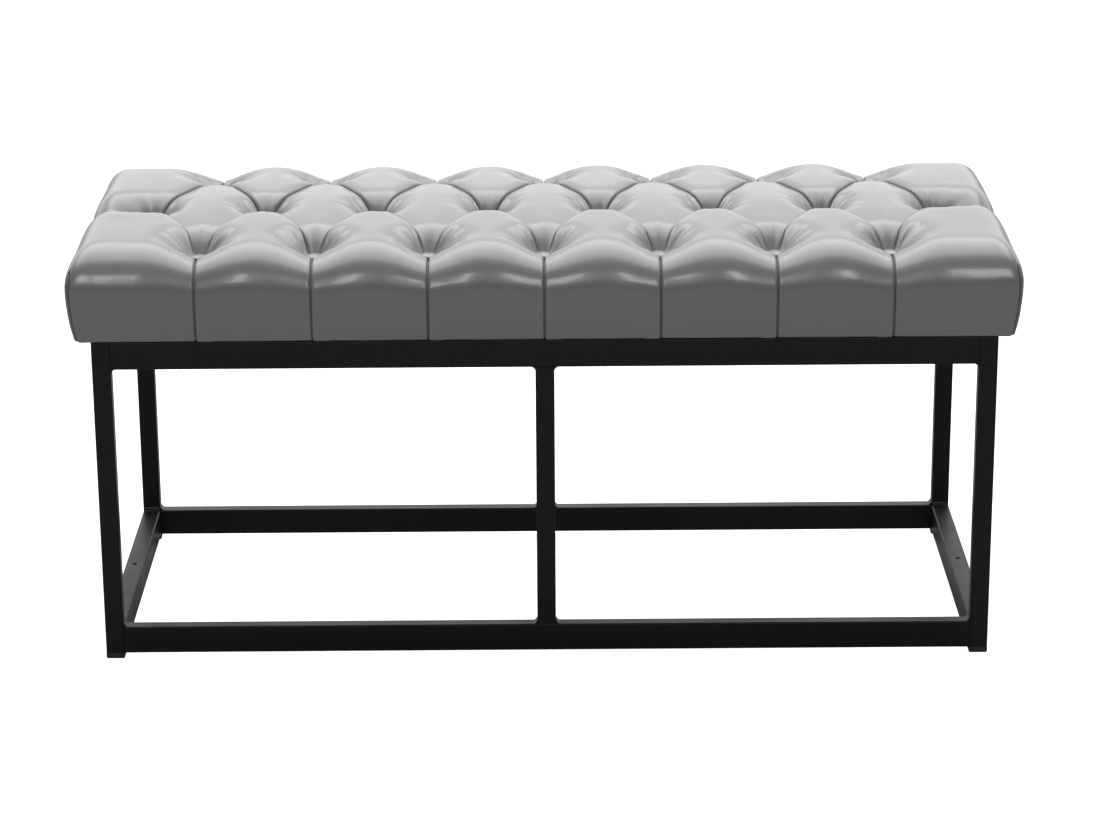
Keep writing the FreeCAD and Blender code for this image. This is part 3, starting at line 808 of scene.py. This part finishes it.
class Skin:
    """A mesh that grows ring by ring from the open edge of a patch."""

    def __init__(self, patch: np.ndarray) -> None:
        """Starts with a patch of quads.

        Args:
            patch: Its points, by column and line.
        """
        wide, deep = patch.shape[:2]
        number = np.arange(wide * deep).reshape(wide, deep)
        self.points = [patch.reshape(-1, 3)]
        self.count = wide * deep
        corners = (number[:-1, :-1], number[1:, :-1], number[1:, 1:], number[:-1, 1:])
        self.faces = [tuple(map(int, face)) for face in np.stack(corners, axis=-1).reshape(-1, 4)]
        self.around = [(i, 0) for i in range(wide)] + [(wide - 1, j) for j in range(1, deep)]
        self.around += [(i, deep - 1) for i in range(wide - 2, -1, -1)]
        self.around += [(0, j) for j in range(deep - 2, 0, -1)]
        self.edge = self.pick(number)

    def pick(self, values: np.ndarray) -> np.ndarray:
        """The patch's values round its edge."""
        return np.array([values[i, j] for i, j in self.around])

    def add_ring(self, ring: np.ndarray) -> None:
        """Joins one more ring of points to the open edge.

        Args:
            ring: The points, in the order of the open edge.
        """
        size = len(ring)
        current = np.arange(self.count, self.count + size)
        corners = (self.edge, current, np.roll(current, -1), np.roll(self.edge, -1))
        self.faces += [tuple(map(int, face)) for face in np.stack(corners, axis=-1)]
        self.points.append(ring)
        self.edge, self.count = current, self.count + size

    def close(self) -> None:
        """Closes the open edge with one face."""
        self.faces.append(tuple(int(k) for k in reversed(self.edge)))


@dataclass
class TuftedCover:
    """The tufted leather seat: a rounded block drawn in by buttons, with pleats between them."""

    plan: SeatPlan
    tufting: Tufting
    hem_width: float = 0.0415
    edge_roll: float = 0.003
    tuck: float = 0.0004
    roll_turns: tuple[float, ...] = (0.4, 0.8, 1.2, math.pi / 2)
    hem_shares: tuple[float, ...] = (0.1, 0.25, 0.5, 0.75, 1.0)
    tuck_depths: tuple[float, ...] = (0.0006, 0.0015)
    columns: int = 26
    band_lines: int = 44
    diamond_lines: int = 26
    end_columns: int = 14
    bend_lines: int = 14
    wall_lines: int = 20
    least_fold: float = 0.0006
    growth: float = 1.3
    limit: float = 8.0
    fine_growth: float = 1.35
    fine_limit: float = 9.0
    lift_reach: float = 0.7

    def line_shares(self, count: int, both_ends: bool) -> np.ndarray:
        """Where mesh lines lie between two folds, close together beside a fold.

        Args:
            count: How many steps there are.
            both_ends: Whether both ends are folds, or only the first.

        Returns:
            Shares from 0 to 1.
        """
        if both_ends:
            half = np.minimum(self.fine_growth ** np.arange(count // 2), self.fine_limit)
            weights = np.concatenate([half, half[::-1]])
        else:
            weights = np.minimum(self.growth ** np.arange(count), self.limit)
        return np.concatenate([[0.0], np.cumsum(weights) / weights.sum()])

    def column_places(self) -> np.ndarray:
        """Where the mesh's columns lie along the straight part of the top."""
        shares, last, count = self.line_shares(self.columns, True), self.plan.last, self.plan.row_buttons
        places = [(i + shares[:-1]) * self.plan.pitch for i in range(-count, count)]
        flat = self.line_shares(self.end_columns, False) * (self.plan.flat_x - last)
        return np.concatenate([-last - flat[::-1][:-1], *places, last + flat])

    def line_places(self, columns: np.ndarray) -> np.ndarray:
        """Where the mesh's lines lie across the straight part of the top.

        Args:
            columns: The columns' places.

        Returns:
            The lines' places in each column. Some of them follow the pleats.
        """
        plan = self.plan
        near = self.line_shares(self.band_lines, False)
        inside = self.line_shares(2 * self.diamond_lines, True)
        past = np.abs(columns) > plan.last
        folds = np.maximum(np.where(past, 0.0, plan.row_y * plan.steps(columns)), self.least_fold)[:, None]
        front = -plan.flat_y + (plan.flat_y - folds) * (1 - near[::-1])
        middle = -folds + 2 * folds * inside
        return np.concatenate([front, middle[:, 1:-1], -front[:, ::-1]], axis=1)

    def surface(self, s: np.ndarray, t: np.ndarray, ends: np.ndarray, sides: np.ndarray, up: np.ndarray,
                below: np.ndarray) -> np.ndarray:
        """Places points of the tufted form.

        Args:
            s: Place along the straight part of the length.
            t: Place across the straight part of the depth.
            ends: Lean towards an end, from -1 to 1.
            sides: Lean towards the front or back, from -1 to 1.
            up: Lean upwards, from 0 to 1.
            below: Distance below the widest line.

        Returns:
            One row of three coordinates for each point.
        """
        plan, tufting = self.plan, self.tufting
        level = np.hypot(ends, sides)
        whole = np.sqrt(level * level + up * up)
        turn_out, rise = level / whole, up / whole
        power = 2 + (plan.corner_power - 2) * (1 - rise * rise)
        safe = np.maximum(level, 1e-9)
        ux, uy = ends / safe, sides / safe
        scale = np.where(level < 1e-9, 0.0, (np.abs(ux) ** power + np.abs(uy) ** power) ** (-1 / power))
        normal = np.stack([ends / whole, sides / whole, rise], axis=-1)
        flat = np.stack([ux * (level > 0), uy * (level > 0), np.zeros_like(rise)], axis=-1)

        on_end, on_side = np.abs(ends) > 0, np.abs(sides) > 0
        corner = on_end & on_side
        angle_x = np.arctan2(np.abs(ends), up) * 2 / math.pi
        angle_y = np.arctan2(np.abs(sides), up) * 2 / math.pi
        over_end = plan.flat_x + plan.bend(plan.end_run) * angle_x + below
        over_side = plan.flat_y + plan.bend(plan.shoulder_run) * angle_y + below
        along = np.where(on_end, np.sign(ends) * over_end, s)
        across = np.where(on_side, np.sign(sides) * over_side, t)
        depth = np.where(corner, tufting.corner_depth(ends, sides, up), tufting.pull_in(along, across))
        loose = smooth_step(0.0, tufting.still_fade, tufting.still_level - below)
        lift = tufting.wrinkles(along, across) * loose

        drop = np.clip(below / plan.swell_height, 0.0, 1.0)
        crown = plan.crown_rise - plan.crown_drop(np.clip(t, -plan.flat_y, plan.flat_y))
        x = np.clip(s, -plan.flat_x, plan.flat_x) + plan.end_run * ux * scale * turn_out
        y = np.clip(t, -plan.flat_y, plan.flat_y) + plan.shoulder_run * uy * scale * turn_out
        z = plan.widest + plan.rise * rise - below + crown * rise
        base = np.stack([x, y, z], axis=-1) - flat * (plan.draw_in * drop * drop)[..., None]
        lean_x, lean_y = tufting.lap(along, across)
        base[..., 0] += np.where(corner, 0.0, lean_x)
        base[..., 1] += np.where(corner, 0.0, lean_y)
        hang = tufting.flap(s) * smooth_step(*tufting.flap_levels, below)
        base[..., 2] -= np.where(on_side & ~on_end, hang, 0.0)
        return base - normal * (depth - lift)[..., None]

    def add_walls(self, skin: Skin, lie: tuple[np.ndarray, ...]) -> None:
        """Runs rings down the walls from the top's edge.

        Args:
            skin: The mesh so far.
            lie: Place along, place across, lean to the ends and lean to the sides round the edge.
        """
        leans = np.tan(np.linspace(0, math.pi / 4, self.bend_lines + 1))[1:]
        levels = [(float(lean), 0.0) for lean in leans[::-1][1:]] + [(0.0, 0.0)]
        shares = np.linspace(0, 1, self.wall_lines + 1)[1:]
        levels += [(0.0, float(share) * (self.plan.swell_height - self.edge_roll)) for share in shares]
        size = len(lie[0])
        for up, below in levels:
            skin.add_ring(self.surface(*lie, np.full(size, up), np.full(size, below)))

    def add_hem(self, skin: Skin, ends: np.ndarray, sides: np.ndarray) -> None:
        """Rolls the bottom edge under, runs the hem inward and closes the mesh.

        Args:
            skin: The mesh so far.
            ends: Lean to the ends round the edge.
            sides: Lean to the sides round the edge.
        """
        level = np.hypot(ends, sides)
        outward = np.stack([ends / level, sides / level, np.zeros_like(level)], axis=-1)
        edge, roll, start = skin.points[-1], self.edge_roll, self.plan.bottom + self.edge_roll
        hem = [(roll * (1 - math.cos(turn)), roll * math.sin(turn)) for turn in self.roll_turns]
        hem += [(roll + (self.hem_width - roll) * share, roll) for share in self.hem_shares]
        hem += [(self.hem_width + self.tuck, roll - depth) for depth in self.tuck_depths]
        for inset, fall in hem:
            ring = edge - outward * inset
            ring[:, 2] = start - fall + (edge[:, 2] - start) * max(1 - inset / (self.lift_reach * roll), 0.0)
            skin.add_ring(ring)
        skin.close()

    def skin(self) -> Skin:
        """Builds the leather's mesh: top, walls and hem, with shared edges."""
        lean = np.tan(math.pi / 4 * (1 - self.line_shares(self.bend_lines, False)[::-1]))[1:]
        straight = self.column_places()
        flat_x, bends = self.plan.flat_x, self.bend_lines
        columns = np.concatenate([np.full(bends, -flat_x), straight, np.full(bends, flat_x)])
        column_lean = np.concatenate([-lean[::-1], np.zeros_like(straight), lean])
        lines = self.line_places(columns)
        row_lean = np.concatenate([-lean[::-1], np.zeros(lines.shape[1]), lean])
        lines = np.pad(lines, ((0, 0), (bends, bends)), mode="edge")

        s, sides = np.broadcast_arrays(columns[:, None], row_lean[None, :])
        ends = np.broadcast_to(column_lean[:, None], s.shape)
        top = self.surface(s, lines, ends, sides, np.ones(s.shape), np.zeros(s.shape))
        skin = Skin(top)
        lie = tuple(skin.pick(values) for values in (s, lines, ends, sides))
        self.add_walls(skin, lie)
        self.add_hem(skin, lie[2], lie[3])
        return skin

    def build(self, leather: bpy.types.Material) -> bpy.types.Object:
        """Builds the tufted leather.

        Args:
            leather: Its material.

        Returns:
            The finished piece.
        """
        skin = self.skin()
        piece = mesh_object("tufted_leather", np.concatenate(skin.points), skin.faces)
        dress(piece, leather)
        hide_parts("seat_cover")
        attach(piece, "root")
        LOG.info("%s: %d faces", piece.name, len(piece.data.polygons))
        return piece


class GeometryTree(NodeWork):
    """A Geometry Nodes tree under construction, with named inputs."""

    def __init__(self, name: str, template: bpy.types.Object, material: bpy.types.Material) -> None:
        """Starts the tree.

        Args:
            name: Its name.
            template: The object that it copies.
            material: The copies' material.
        """
        super().__init__(bpy.data.node_groups.new(name, "GeometryNodeTree"))
        for way in ("INPUT", "OUTPUT"):
            self.tree.interface.new_socket("Geometry", in_out=way, socket_type="NodeSocketGeometry")
        self.template = template
        self.values: dict[str, object] = {}
        self.given: bpy.types.Node | None = None
        self.ask("Template", "Object", template)
        self.ask("Material", "Material", material)

    def ask(self, label: str, kind: str, value: object) -> None:
        """Adds a named input with its value."""
        socket = self.tree.interface.new_socket(label, in_out="INPUT", socket_type=f"NodeSocket{kind}")
        self.values[socket.identifier] = value

    def read(self, label: str) -> bpy.types.NodeSocket:
        """The socket that gives a named input. All inputs are asked for before the first is read."""
        self.given = self.given or self.tree.nodes.new("NodeGroupInput")
        return self.given.outputs[label]

    def place_copies(self, points: bpy.types.NodeSocket, turn: bpy.types.NodeSocket) -> None:
        """Puts the template on points, makes the copies real and gives them the material.

        Args:
            points: The points.
            turn: The rotation of each copy.
        """
        template = self.node("GeometryNodeObjectInfo")
        self.link(self.read("Template"), template.inputs["Object"])
        copies = self.node("GeometryNodeInstanceOnPoints")
        self.link(points, copies.inputs["Points"])
        self.link(template.outputs["Geometry"], copies.inputs["Instance"])
        self.link(turn, copies.inputs["Rotation"])
        real = self.node("GeometryNodeRealizeInstances")
        self.link(copies.outputs["Instances"], real.inputs["Geometry"])
        finish = self.node("GeometryNodeSetMaterial")
        self.link(real.outputs["Geometry"], finish.inputs["Geometry"])
        self.link(self.read("Material"), finish.inputs["Material"])
        self.link(finish.outputs["Geometry"], self.node("NodeGroupOutput").inputs["Geometry"])

    def run(self, name: str) -> bpy.types.Object:
        """Runs the tree on an empty mesh, and removes the template.

        Args:
            name: The resulting piece's name.

        Returns:
            The plain piece.
        """
        carrier = add_object(f"{name}_carrier", bpy.data.meshes.new(f"{name}_carrier"))
        modifier = carrier.modifiers.new(self.tree.name, "NODES")
        modifier.node_group = self.tree
        for identifier, value in self.values.items():
            modifier[identifier] = value
        graph = bpy.context.evaluated_depsgraph_get()
        made = add_object(name, bpy.data.meshes.new_from_object(carrier.evaluated_get(graph)))
        for spent in (carrier, self.template):
            bpy.data.objects.remove(spent, do_unlink=True)
        LOG.info("%s: %d faces", made.name, len(made.data.polygons))
        return made


@dataclass
class CoveredButtons:
    """The leather-covered buttons in the tufts."""

    plan: SeatPlan
    radius: float = 0.0098
    rim: float = 0.0040
    rise: float = 0.0070
    gathers: int = 22
    gather_depth: float = 0.00012
    gather_start: float = 0.55
    turned_in: float = 0.35
    turned_down: float = 0.5
    tilt: float = 0.07
    rings: int = 12
    segments: int = 44

    def template(self) -> bpy.types.Object:
        """Builds one button: a domed disc whose leather is gathered round its rim."""
        points, faces = [(0.0, 0.0, self.rise)], []
        domed = self.rings - 2
        for ring in range(1, self.rings + 1):
            turn = math.pi / 2 * min(ring / domed, 1.0)
            under = max(ring - domed, 0) / 2
            radius = self.radius * math.sin(turn) * (1 - self.turned_in * under)
            level = self.rim + (self.rise - self.rim) * math.cos(turn) - self.rim * self.turned_down * under
            pinch = self.gather_depth * float(smooth_step(self.gather_start, 1.0, np.array(math.sin(turn))))
            for segment in range(self.segments):
                angle = 2 * math.pi * segment / self.segments
                out = radius + pinch * math.cos(self.gathers * angle)
                points.append((out * math.cos(angle), out * math.sin(angle), level))
        for segment in range(self.segments):
            after = (segment + 1) % self.segments
            faces.append((0, 1 + segment, 1 + after))
            for ring in range(self.rings - 1):
                here, there = 1 + ring * self.segments, 1 + (ring + 1) * self.segments
                faces.append((here + segment, there + segment, there + after, here + after))
        base = 1 + (self.rings - 1) * self.segments
        faces.append(tuple(base + segment for segment in reversed(range(self.segments))))
        return mesh_object("button_template", np.array(points), faces)

    def build(self, leather: bpy.types.Material) -> bpy.types.Object:
        """Places a button in every tuft.

        Args:
            leather: The buttons' material.

        Returns:
            The finished piece.
        """
        tree = GeometryTree("tuft buttons", self.template(), leather)
        tree.ask("Seed", "Int", 3)
        for row in Row:
            spots = self.plan.buttons(row)
            tree.ask(f"{row.name} Count", "Int", len(spots))
            tree.ask(f"{row.name} Start", "Vector", tuple(spots[0]))
            tree.ask(f"{row.name} Step", "Vector", tuple(spots[1] - spots[0]))
        joined = tree.node("GeometryNodeJoinGeometry")
        for row in Row:
            line = tree.node("GeometryNodeMeshLine", mode="OFFSET")
            for source, into in (("Count", "Count"), ("Start", "Start Location"), ("Step", "Offset")):
                tree.link(tree.read(f"{row.name} {source}"), line.inputs[into])
            tree.link(line.outputs["Mesh"], joined.inputs["Geometry"])
        turns = tree.node("FunctionNodeRandomValue", data_type="FLOAT_VECTOR")
        turns.inputs["Min"].default_value = (-self.tilt, -self.tilt, 0.0)
        turns.inputs["Max"].default_value = (self.tilt, self.tilt, 2 * math.pi)
        tree.link(tree.read("Seed"), turns.inputs["Seed"])
        tree.place_copies(joined.outputs["Geometry"], turns.outputs["Value"])
        piece = tree.run("leather_buttons")
        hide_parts("covered_buttons")
        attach(piece, "root")
        return piece


@dataclass
class DustCloth:
    """The black cloth under the seat board, with the staples that hold it."""

    columns: int = 180
    rows: int = 60
    thickness: float = 0.0005
    sag: float = 0.0022
    slack_width: float = 0.09
    pucker: float = 0.0006
    pucker_width: float = 0.018
    margin: float = 0.008
    staple_pitch: float = 0.036
    staple_width: float = 0.010
    staple_wire: float = 0.0007
    ripple: Noise = field(default_factory=lambda: Noise(41))

    def __post_init__(self) -> None:
        """Reads the cloth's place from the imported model."""
        self.low, self.high = (Vector(corner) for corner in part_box("dust_cover"))
        self.level = (self.low.z + self.high.z) / 2

    def build_cloth(self, material: bpy.types.Material) -> bpy.types.Object:
        """Builds the cloth.

        Args:
            material: The cloth.

        Returns:
            The finished piece.
        """
        low, high = self.low, self.high
        x, y = np.linspace(low.x, high.x, self.columns + 1), np.linspace(low.y, high.y, self.rows + 1)
        grid_x, grid_y = np.meshgrid(x, y, indexing="ij")
        from_end, from_side = high.x - np.abs(grid_x), high.y - np.abs(grid_y)
        edge = np.minimum(from_end, from_side)
        slack = smooth_step(self.margin, self.slack_width, edge)
        beside = np.where(from_end < from_side, grid_y, grid_x)
        near = np.exp(-((edge - self.margin) / self.pucker_width) ** 2) * (edge > self.margin)
        waves = self.pucker * near * (0.5 - 0.5 * np.cos(2 * math.pi * beside / self.staple_pitch))
        drift = self.ripple.at(grid_x / 0.11 + 3.0, grid_y / 0.07 + 5.0)
        z = self.level - self.sag * slack * (1 + 0.35 * drift) - waves
        points = np.stack([grid_x, grid_y, z], axis=-1).reshape(-1, 3)
        deep = self.rows + 1
        faces = [(i * deep + j, i * deep + j + 1, (i + 1) * deep + j + 1, (i + 1) * deep + j)
                 for i in range(self.columns) for j in range(self.rows)]
        piece = mesh_object("dust_cloth", points, faces)
        solid = piece.modifiers.new("thickness", "SOLIDIFY")
        solid.thickness = self.thickness
        solid.offset = 0.0
        dress(piece, material)
        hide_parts("dust_cover")
        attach(piece, "root")
        LOG.info("%s: %d faces", piece.name, len(piece.data.polygons))
        return piece

    def staple(self) -> bpy.types.Object:
        """Builds one staple: its crown, lying along X, with the start of its two legs."""
        mesh = bmesh.new()
        half, wire = self.staple_width / 2, self.staple_wire
        leg = (wire, wire, 2 * wire)
        parts = (((0, 0, 0), (2 * half, wire, wire)), ((-half, 0, wire), leg), ((half, 0, wire), leg))
        for place, span in parts:
            turn = Matrix.Translation(place) @ Matrix.Diagonal((*span, 1.0))
            bmesh.ops.create_cube(mesh, size=1.0, matrix=turn)
        bmesh.ops.bevel(mesh, geom=list(mesh.edges), offset=wire * 0.25, segments=1, affect="EDGES")
        made = mesh_object("staple_template", np.zeros((0, 3)), [], smooth=False)
        mesh.to_mesh(made.data)
        mesh.free()
        return made

    def build_staples(self, steel: bpy.types.Material) -> bpy.types.Object:
        """Drives a row of staples round the cloth's edge.

        Args:
            steel: Their material.

        Returns:
            The finished piece.
        """
        span = self.high - self.low
        tree = GeometryTree("staple row", self.staple(), steel)
        tree.ask("Path Length", "Float", span.x - 2 * self.margin)
        tree.ask("Path Depth", "Float", span.y - 2 * self.margin)
        tree.ask("Spacing", "Float", self.staple_pitch)
        tree.ask("Level", "Vector", (0.0, 0.0, self.level - self.thickness))
        path = tree.node("GeometryNodeCurvePrimitiveQuadrilateral", mode="RECTANGLE")
        tree.link(tree.read("Path Length"), path.inputs["Width"])
        tree.link(tree.read("Path Depth"), path.inputs["Height"])
        moved = tree.node("GeometryNodeTransform")
        tree.link(path.outputs["Curve"], moved.inputs["Geometry"])
        tree.link(tree.read("Level"), moved.inputs["Translation"])
        spots = tree.node("GeometryNodeCurveToPoints", mode="LENGTH")
        tree.link(moved.outputs["Geometry"], spots.inputs["Curve"])
        tree.link(tree.read("Spacing"), spots.inputs["Length"])
        turn = tree.node("FunctionNodeAlignEulerToVector", axis="X")
        tree.link(spots.outputs["Tangent"], turn.inputs["Vector"])
        tree.place_copies(spots.outputs["Points"], turn.outputs["Rotation"])
        piece = tree.run("cloth_staples")
        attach(piece, "root")
        return piece


@dataclass
class SteelFrame:
    """The welded tube frame and its glides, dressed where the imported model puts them."""

    tubes: tuple[str, ...] = ("leg_", "upright_", "top_", "bottom_", "weld_")

    def dress(self, coat: MottledFinish, plastic: MottledFinish) -> None:
        """Gives every steel and plastic piece its finish.

        Args:
            coat: The steel's finish.
            plastic: The glides' finish.
        """
        steel, glide = coat.material(), plastic.material()
        for name, node in NODES.items():
            if name.startswith(self.tubes):
                dress(node, steel)
            elif name.startswith("glide_"):
                dress(node, glide)
        LOG.info("frame dressed")


@dataclass(frozen=True)
class Lamp:
    """One soft rectangular light: where it hangs, its width and height, and its strength in watts."""

    name: str
    place: tuple[float, float, float]
    target: tuple[float, float, float]
    size: tuple[float, float]
    power: float

    def hang(self) -> None:
        """Adds the light to the scene."""
        light = bpy.data.lights.new(self.name, "AREA")
        light.shape = "RECTANGLE"
        light.size, light.size_y = self.size
        light.energy = self.power
        away = Vector(self.place) - Vector(self.target)
        turn = away.to_track_quat("Z", "Y").to_matrix().to_4x4()
        add_object(self.name, light).matrix_world = Matrix.Translation(self.place) @ turn


@dataclass
class Studio:
    """The photograph's camera, a pale floor and soft light."""

    focal_pixels: float = 3315.5
    image_width: float = 1100.0
    camera_place: tuple[float, float, float] = (0.00134, -3.50176, 1.37991)
    yaw: float = 0.00112
    pitch: float = 0.32134
    roll: float = -0.00665
    floor_half: float = 12.0
    floor_grey: float = 0.36
    room_front: float = 0.05
    room_back: float = 1.5
    lamps: tuple[Lamp, ...] = (
        Lamp("overhead", (0.0, 0.95, 3.2), (0.0, 0.0, 0.4), (4.8, 3.4), 172.0),
        Lamp("front_left", (-1.12, -3.5, 2.5), (0.0, 0.0, 0.42), (0.48, 1.7), 33.0),
        Lamp("front_right", (1.12, -3.5, 2.5), (0.0, 0.0, 0.42), (0.48, 1.7), 33.0),
    )

    def add_camera(self) -> None:
        """Makes the camera at the photograph's viewpoint."""
        camera = bpy.data.cameras.new("camera")
        camera.sensor_width = 36.0
        camera.lens = self.focal_pixels / self.image_width * camera.sensor_width
        flat = math.cos(self.pitch)
        ahead = Vector((math.sin(self.yaw) * flat, math.cos(self.yaw) * flat, -math.sin(self.pitch)))
        level = Vector((math.cos(self.yaw), -math.sin(self.yaw), 0.0))
        upright = level.cross(ahead)
        right = math.cos(self.roll) * level + math.sin(self.roll) * upright
        above = -math.sin(self.roll) * level + math.cos(self.roll) * upright
        turn = Matrix((right, above, -ahead)).transposed()
        made = add_object("camera", camera)
        made.matrix_world = Matrix.Translation(self.camera_place) @ turn.to_4x4()
        bpy.context.scene.camera = made

    def add_floor(self) -> None:
        """Makes the floor: pale grey to the bench, and white to the camera."""
        half = self.floor_half
        corners = np.array([(-half, -half, 0.0), (half, -half, 0.0), (half, half, 0.0), (-half, half, 0.0)])
        floor = mesh_object("studio_floor", corners, [(0, 1, 2, 3)], smooth=False)
        made, shades, surface = Shades.new("studio floor")
        fill(surface, {"Base Color": (self.floor_grey, self.floor_grey, self.floor_grey, 1.0),
                       "Emission Color": (1.0, 1.0, 1.0, 1.0), "Roughness": 0.9, "Specular IOR Level": 0.0})
        seen = shades.node("ShaderNodeLightPath").outputs["Is Camera Ray"]
        shades.link(shades.range(seen, (0.0, 1.0), (0.0, 1.0)), surface.inputs["Emission Strength"])
        dress(floor, made)

    def add_world(self) -> None:
        """Makes the surroundings: white to the camera, and a room that is lighter behind to the bench."""
        world = bpy.data.worlds.new("studio")
        bpy.context.scene.world = world
        world.use_nodes = True
        shades = Shades(world.node_tree)
        back = world.node_tree.nodes["Background"]
        back.inputs["Color"].default_value = (1.0, 1.0, 1.0, 1.0)
        where = shades.node("ShaderNodeSeparateXYZ")
        shades.link(shades.node("ShaderNodeTexCoord").outputs["Generated"], where.inputs[0])
        room = shades.range(where.outputs["Y"], (-0.1, 0.6), (self.room_front, self.room_back))
        chosen = shades.node("ShaderNodeMix", data_type="FLOAT")
        shades.link(shades.node("ShaderNodeLightPath").outputs["Is Camera Ray"], chosen.inputs["Factor"])
        shades.link(room, chosen.inputs["A"])
        chosen.inputs["B"].default_value = 1.0
        shades.link(chosen.outputs["Result"], back.inputs["Strength"])

    def build(self) -> None:
        """Sets the whole studio up."""
        self.add_camera()
        self.add_floor()
        self.add_world()
        for lamp in self.lamps:
            lamp.hang()
        bpy.context.scene.view_settings.view_transform = "Standard"


def finishes(groups: SurfaceGroups) -> dict[str, MottledFinish]:
    """The finishes of all pieces but the leather ones.

    Args:
        groups: The shared shader groups.

    Returns:
        Each finish, by what it is for. Inner pieces have the name of their node.
    """
    powder_coat = MottledFinish(
        groups, "black powder coat", (0.0045, 0.0045, 0.0048), (0.0070, 0.0070, 0.0073), 0.40, 700.0,
        0.0002, cloud_scale=12.0, colour_layer="Cloud", grain_strength=0.3, roughness_drift=(0.04, 0.05),
        specular=0.20)
    rows = (
        ("glides", "black glide plastic", (0.012, 0.012, 0.013), (0.02, 0.02, 0.021), 0.55, 900.0, 0.0001,
         0.0),
        ("cloth", "dust cloth", (0.012, 0.012, 0.012), (0.03, 0.03, 0.03), 0.95, 900.0, 0.0003, 0.0),
        ("staples", "staple wire", (0.5, 0.5, 0.5), (0.6, 0.6, 0.6), 0.35, 400.0, 0.0001, 1.0),
        ("foam_block", "seat foam", (0.7, 0.62, 0.4), (0.8, 0.74, 0.52), 0.95, 500.0, 0.0006, 0.0),
        ("seat_board", "seat board", (0.36, 0.24, 0.13), (0.5, 0.36, 0.21), 0.8, 260.0, 0.0004, 0.0),
        ("button_cords", "button cord", (0.6, 0.57, 0.5), (0.7, 0.67, 0.6), 0.9, 1500.0, 0.0003, 0.0),
        ("seat_screws", "screw steel", (0.5, 0.5, 0.5), (0.6, 0.6, 0.6), 0.35, 300.0, 0.0001, 1.0),
        ("threaded_inserts", "insert steel", (0.5, 0.5, 0.45), (0.6, 0.6, 0.55), 0.4, 300.0, 0.0001, 1.0),
    )
    return {"frame": powder_coat, **{use: MottledFinish(groups, *values) for use, *values in rows}}


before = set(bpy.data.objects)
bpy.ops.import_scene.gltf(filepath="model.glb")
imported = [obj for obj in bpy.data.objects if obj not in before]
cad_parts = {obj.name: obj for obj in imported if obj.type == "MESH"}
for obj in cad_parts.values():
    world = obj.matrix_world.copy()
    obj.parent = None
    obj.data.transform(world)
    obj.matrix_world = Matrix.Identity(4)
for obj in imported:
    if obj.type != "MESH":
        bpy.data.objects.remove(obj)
NODES: dict[str, bpy.types.Object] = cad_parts


def main() -> None:
    """Builds the bench and the studio in order."""
    logging.basicConfig(level=logging.INFO, format="%(message)s")
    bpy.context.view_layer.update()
    groups = SurfaceGroups()
    Studio().build()
    table = finishes(groups)
    SteelFrame().dress(table.pop("frame"), table.pop("glides"))
    plan = SeatPlan()
    leather = LeatherFinish(groups).material()
    TuftedCover(plan, Tufting(plan)).build(leather)
    CoveredButtons(plan).build(leather)
    under = DustCloth()
    under.build_cloth(table.pop("cloth").material())
    under.build_staples(table.pop("staples").material())
    for name, finish in table.items():
        dress(NODES[name], finish.material())


if __name__ == "__main__":
    main()
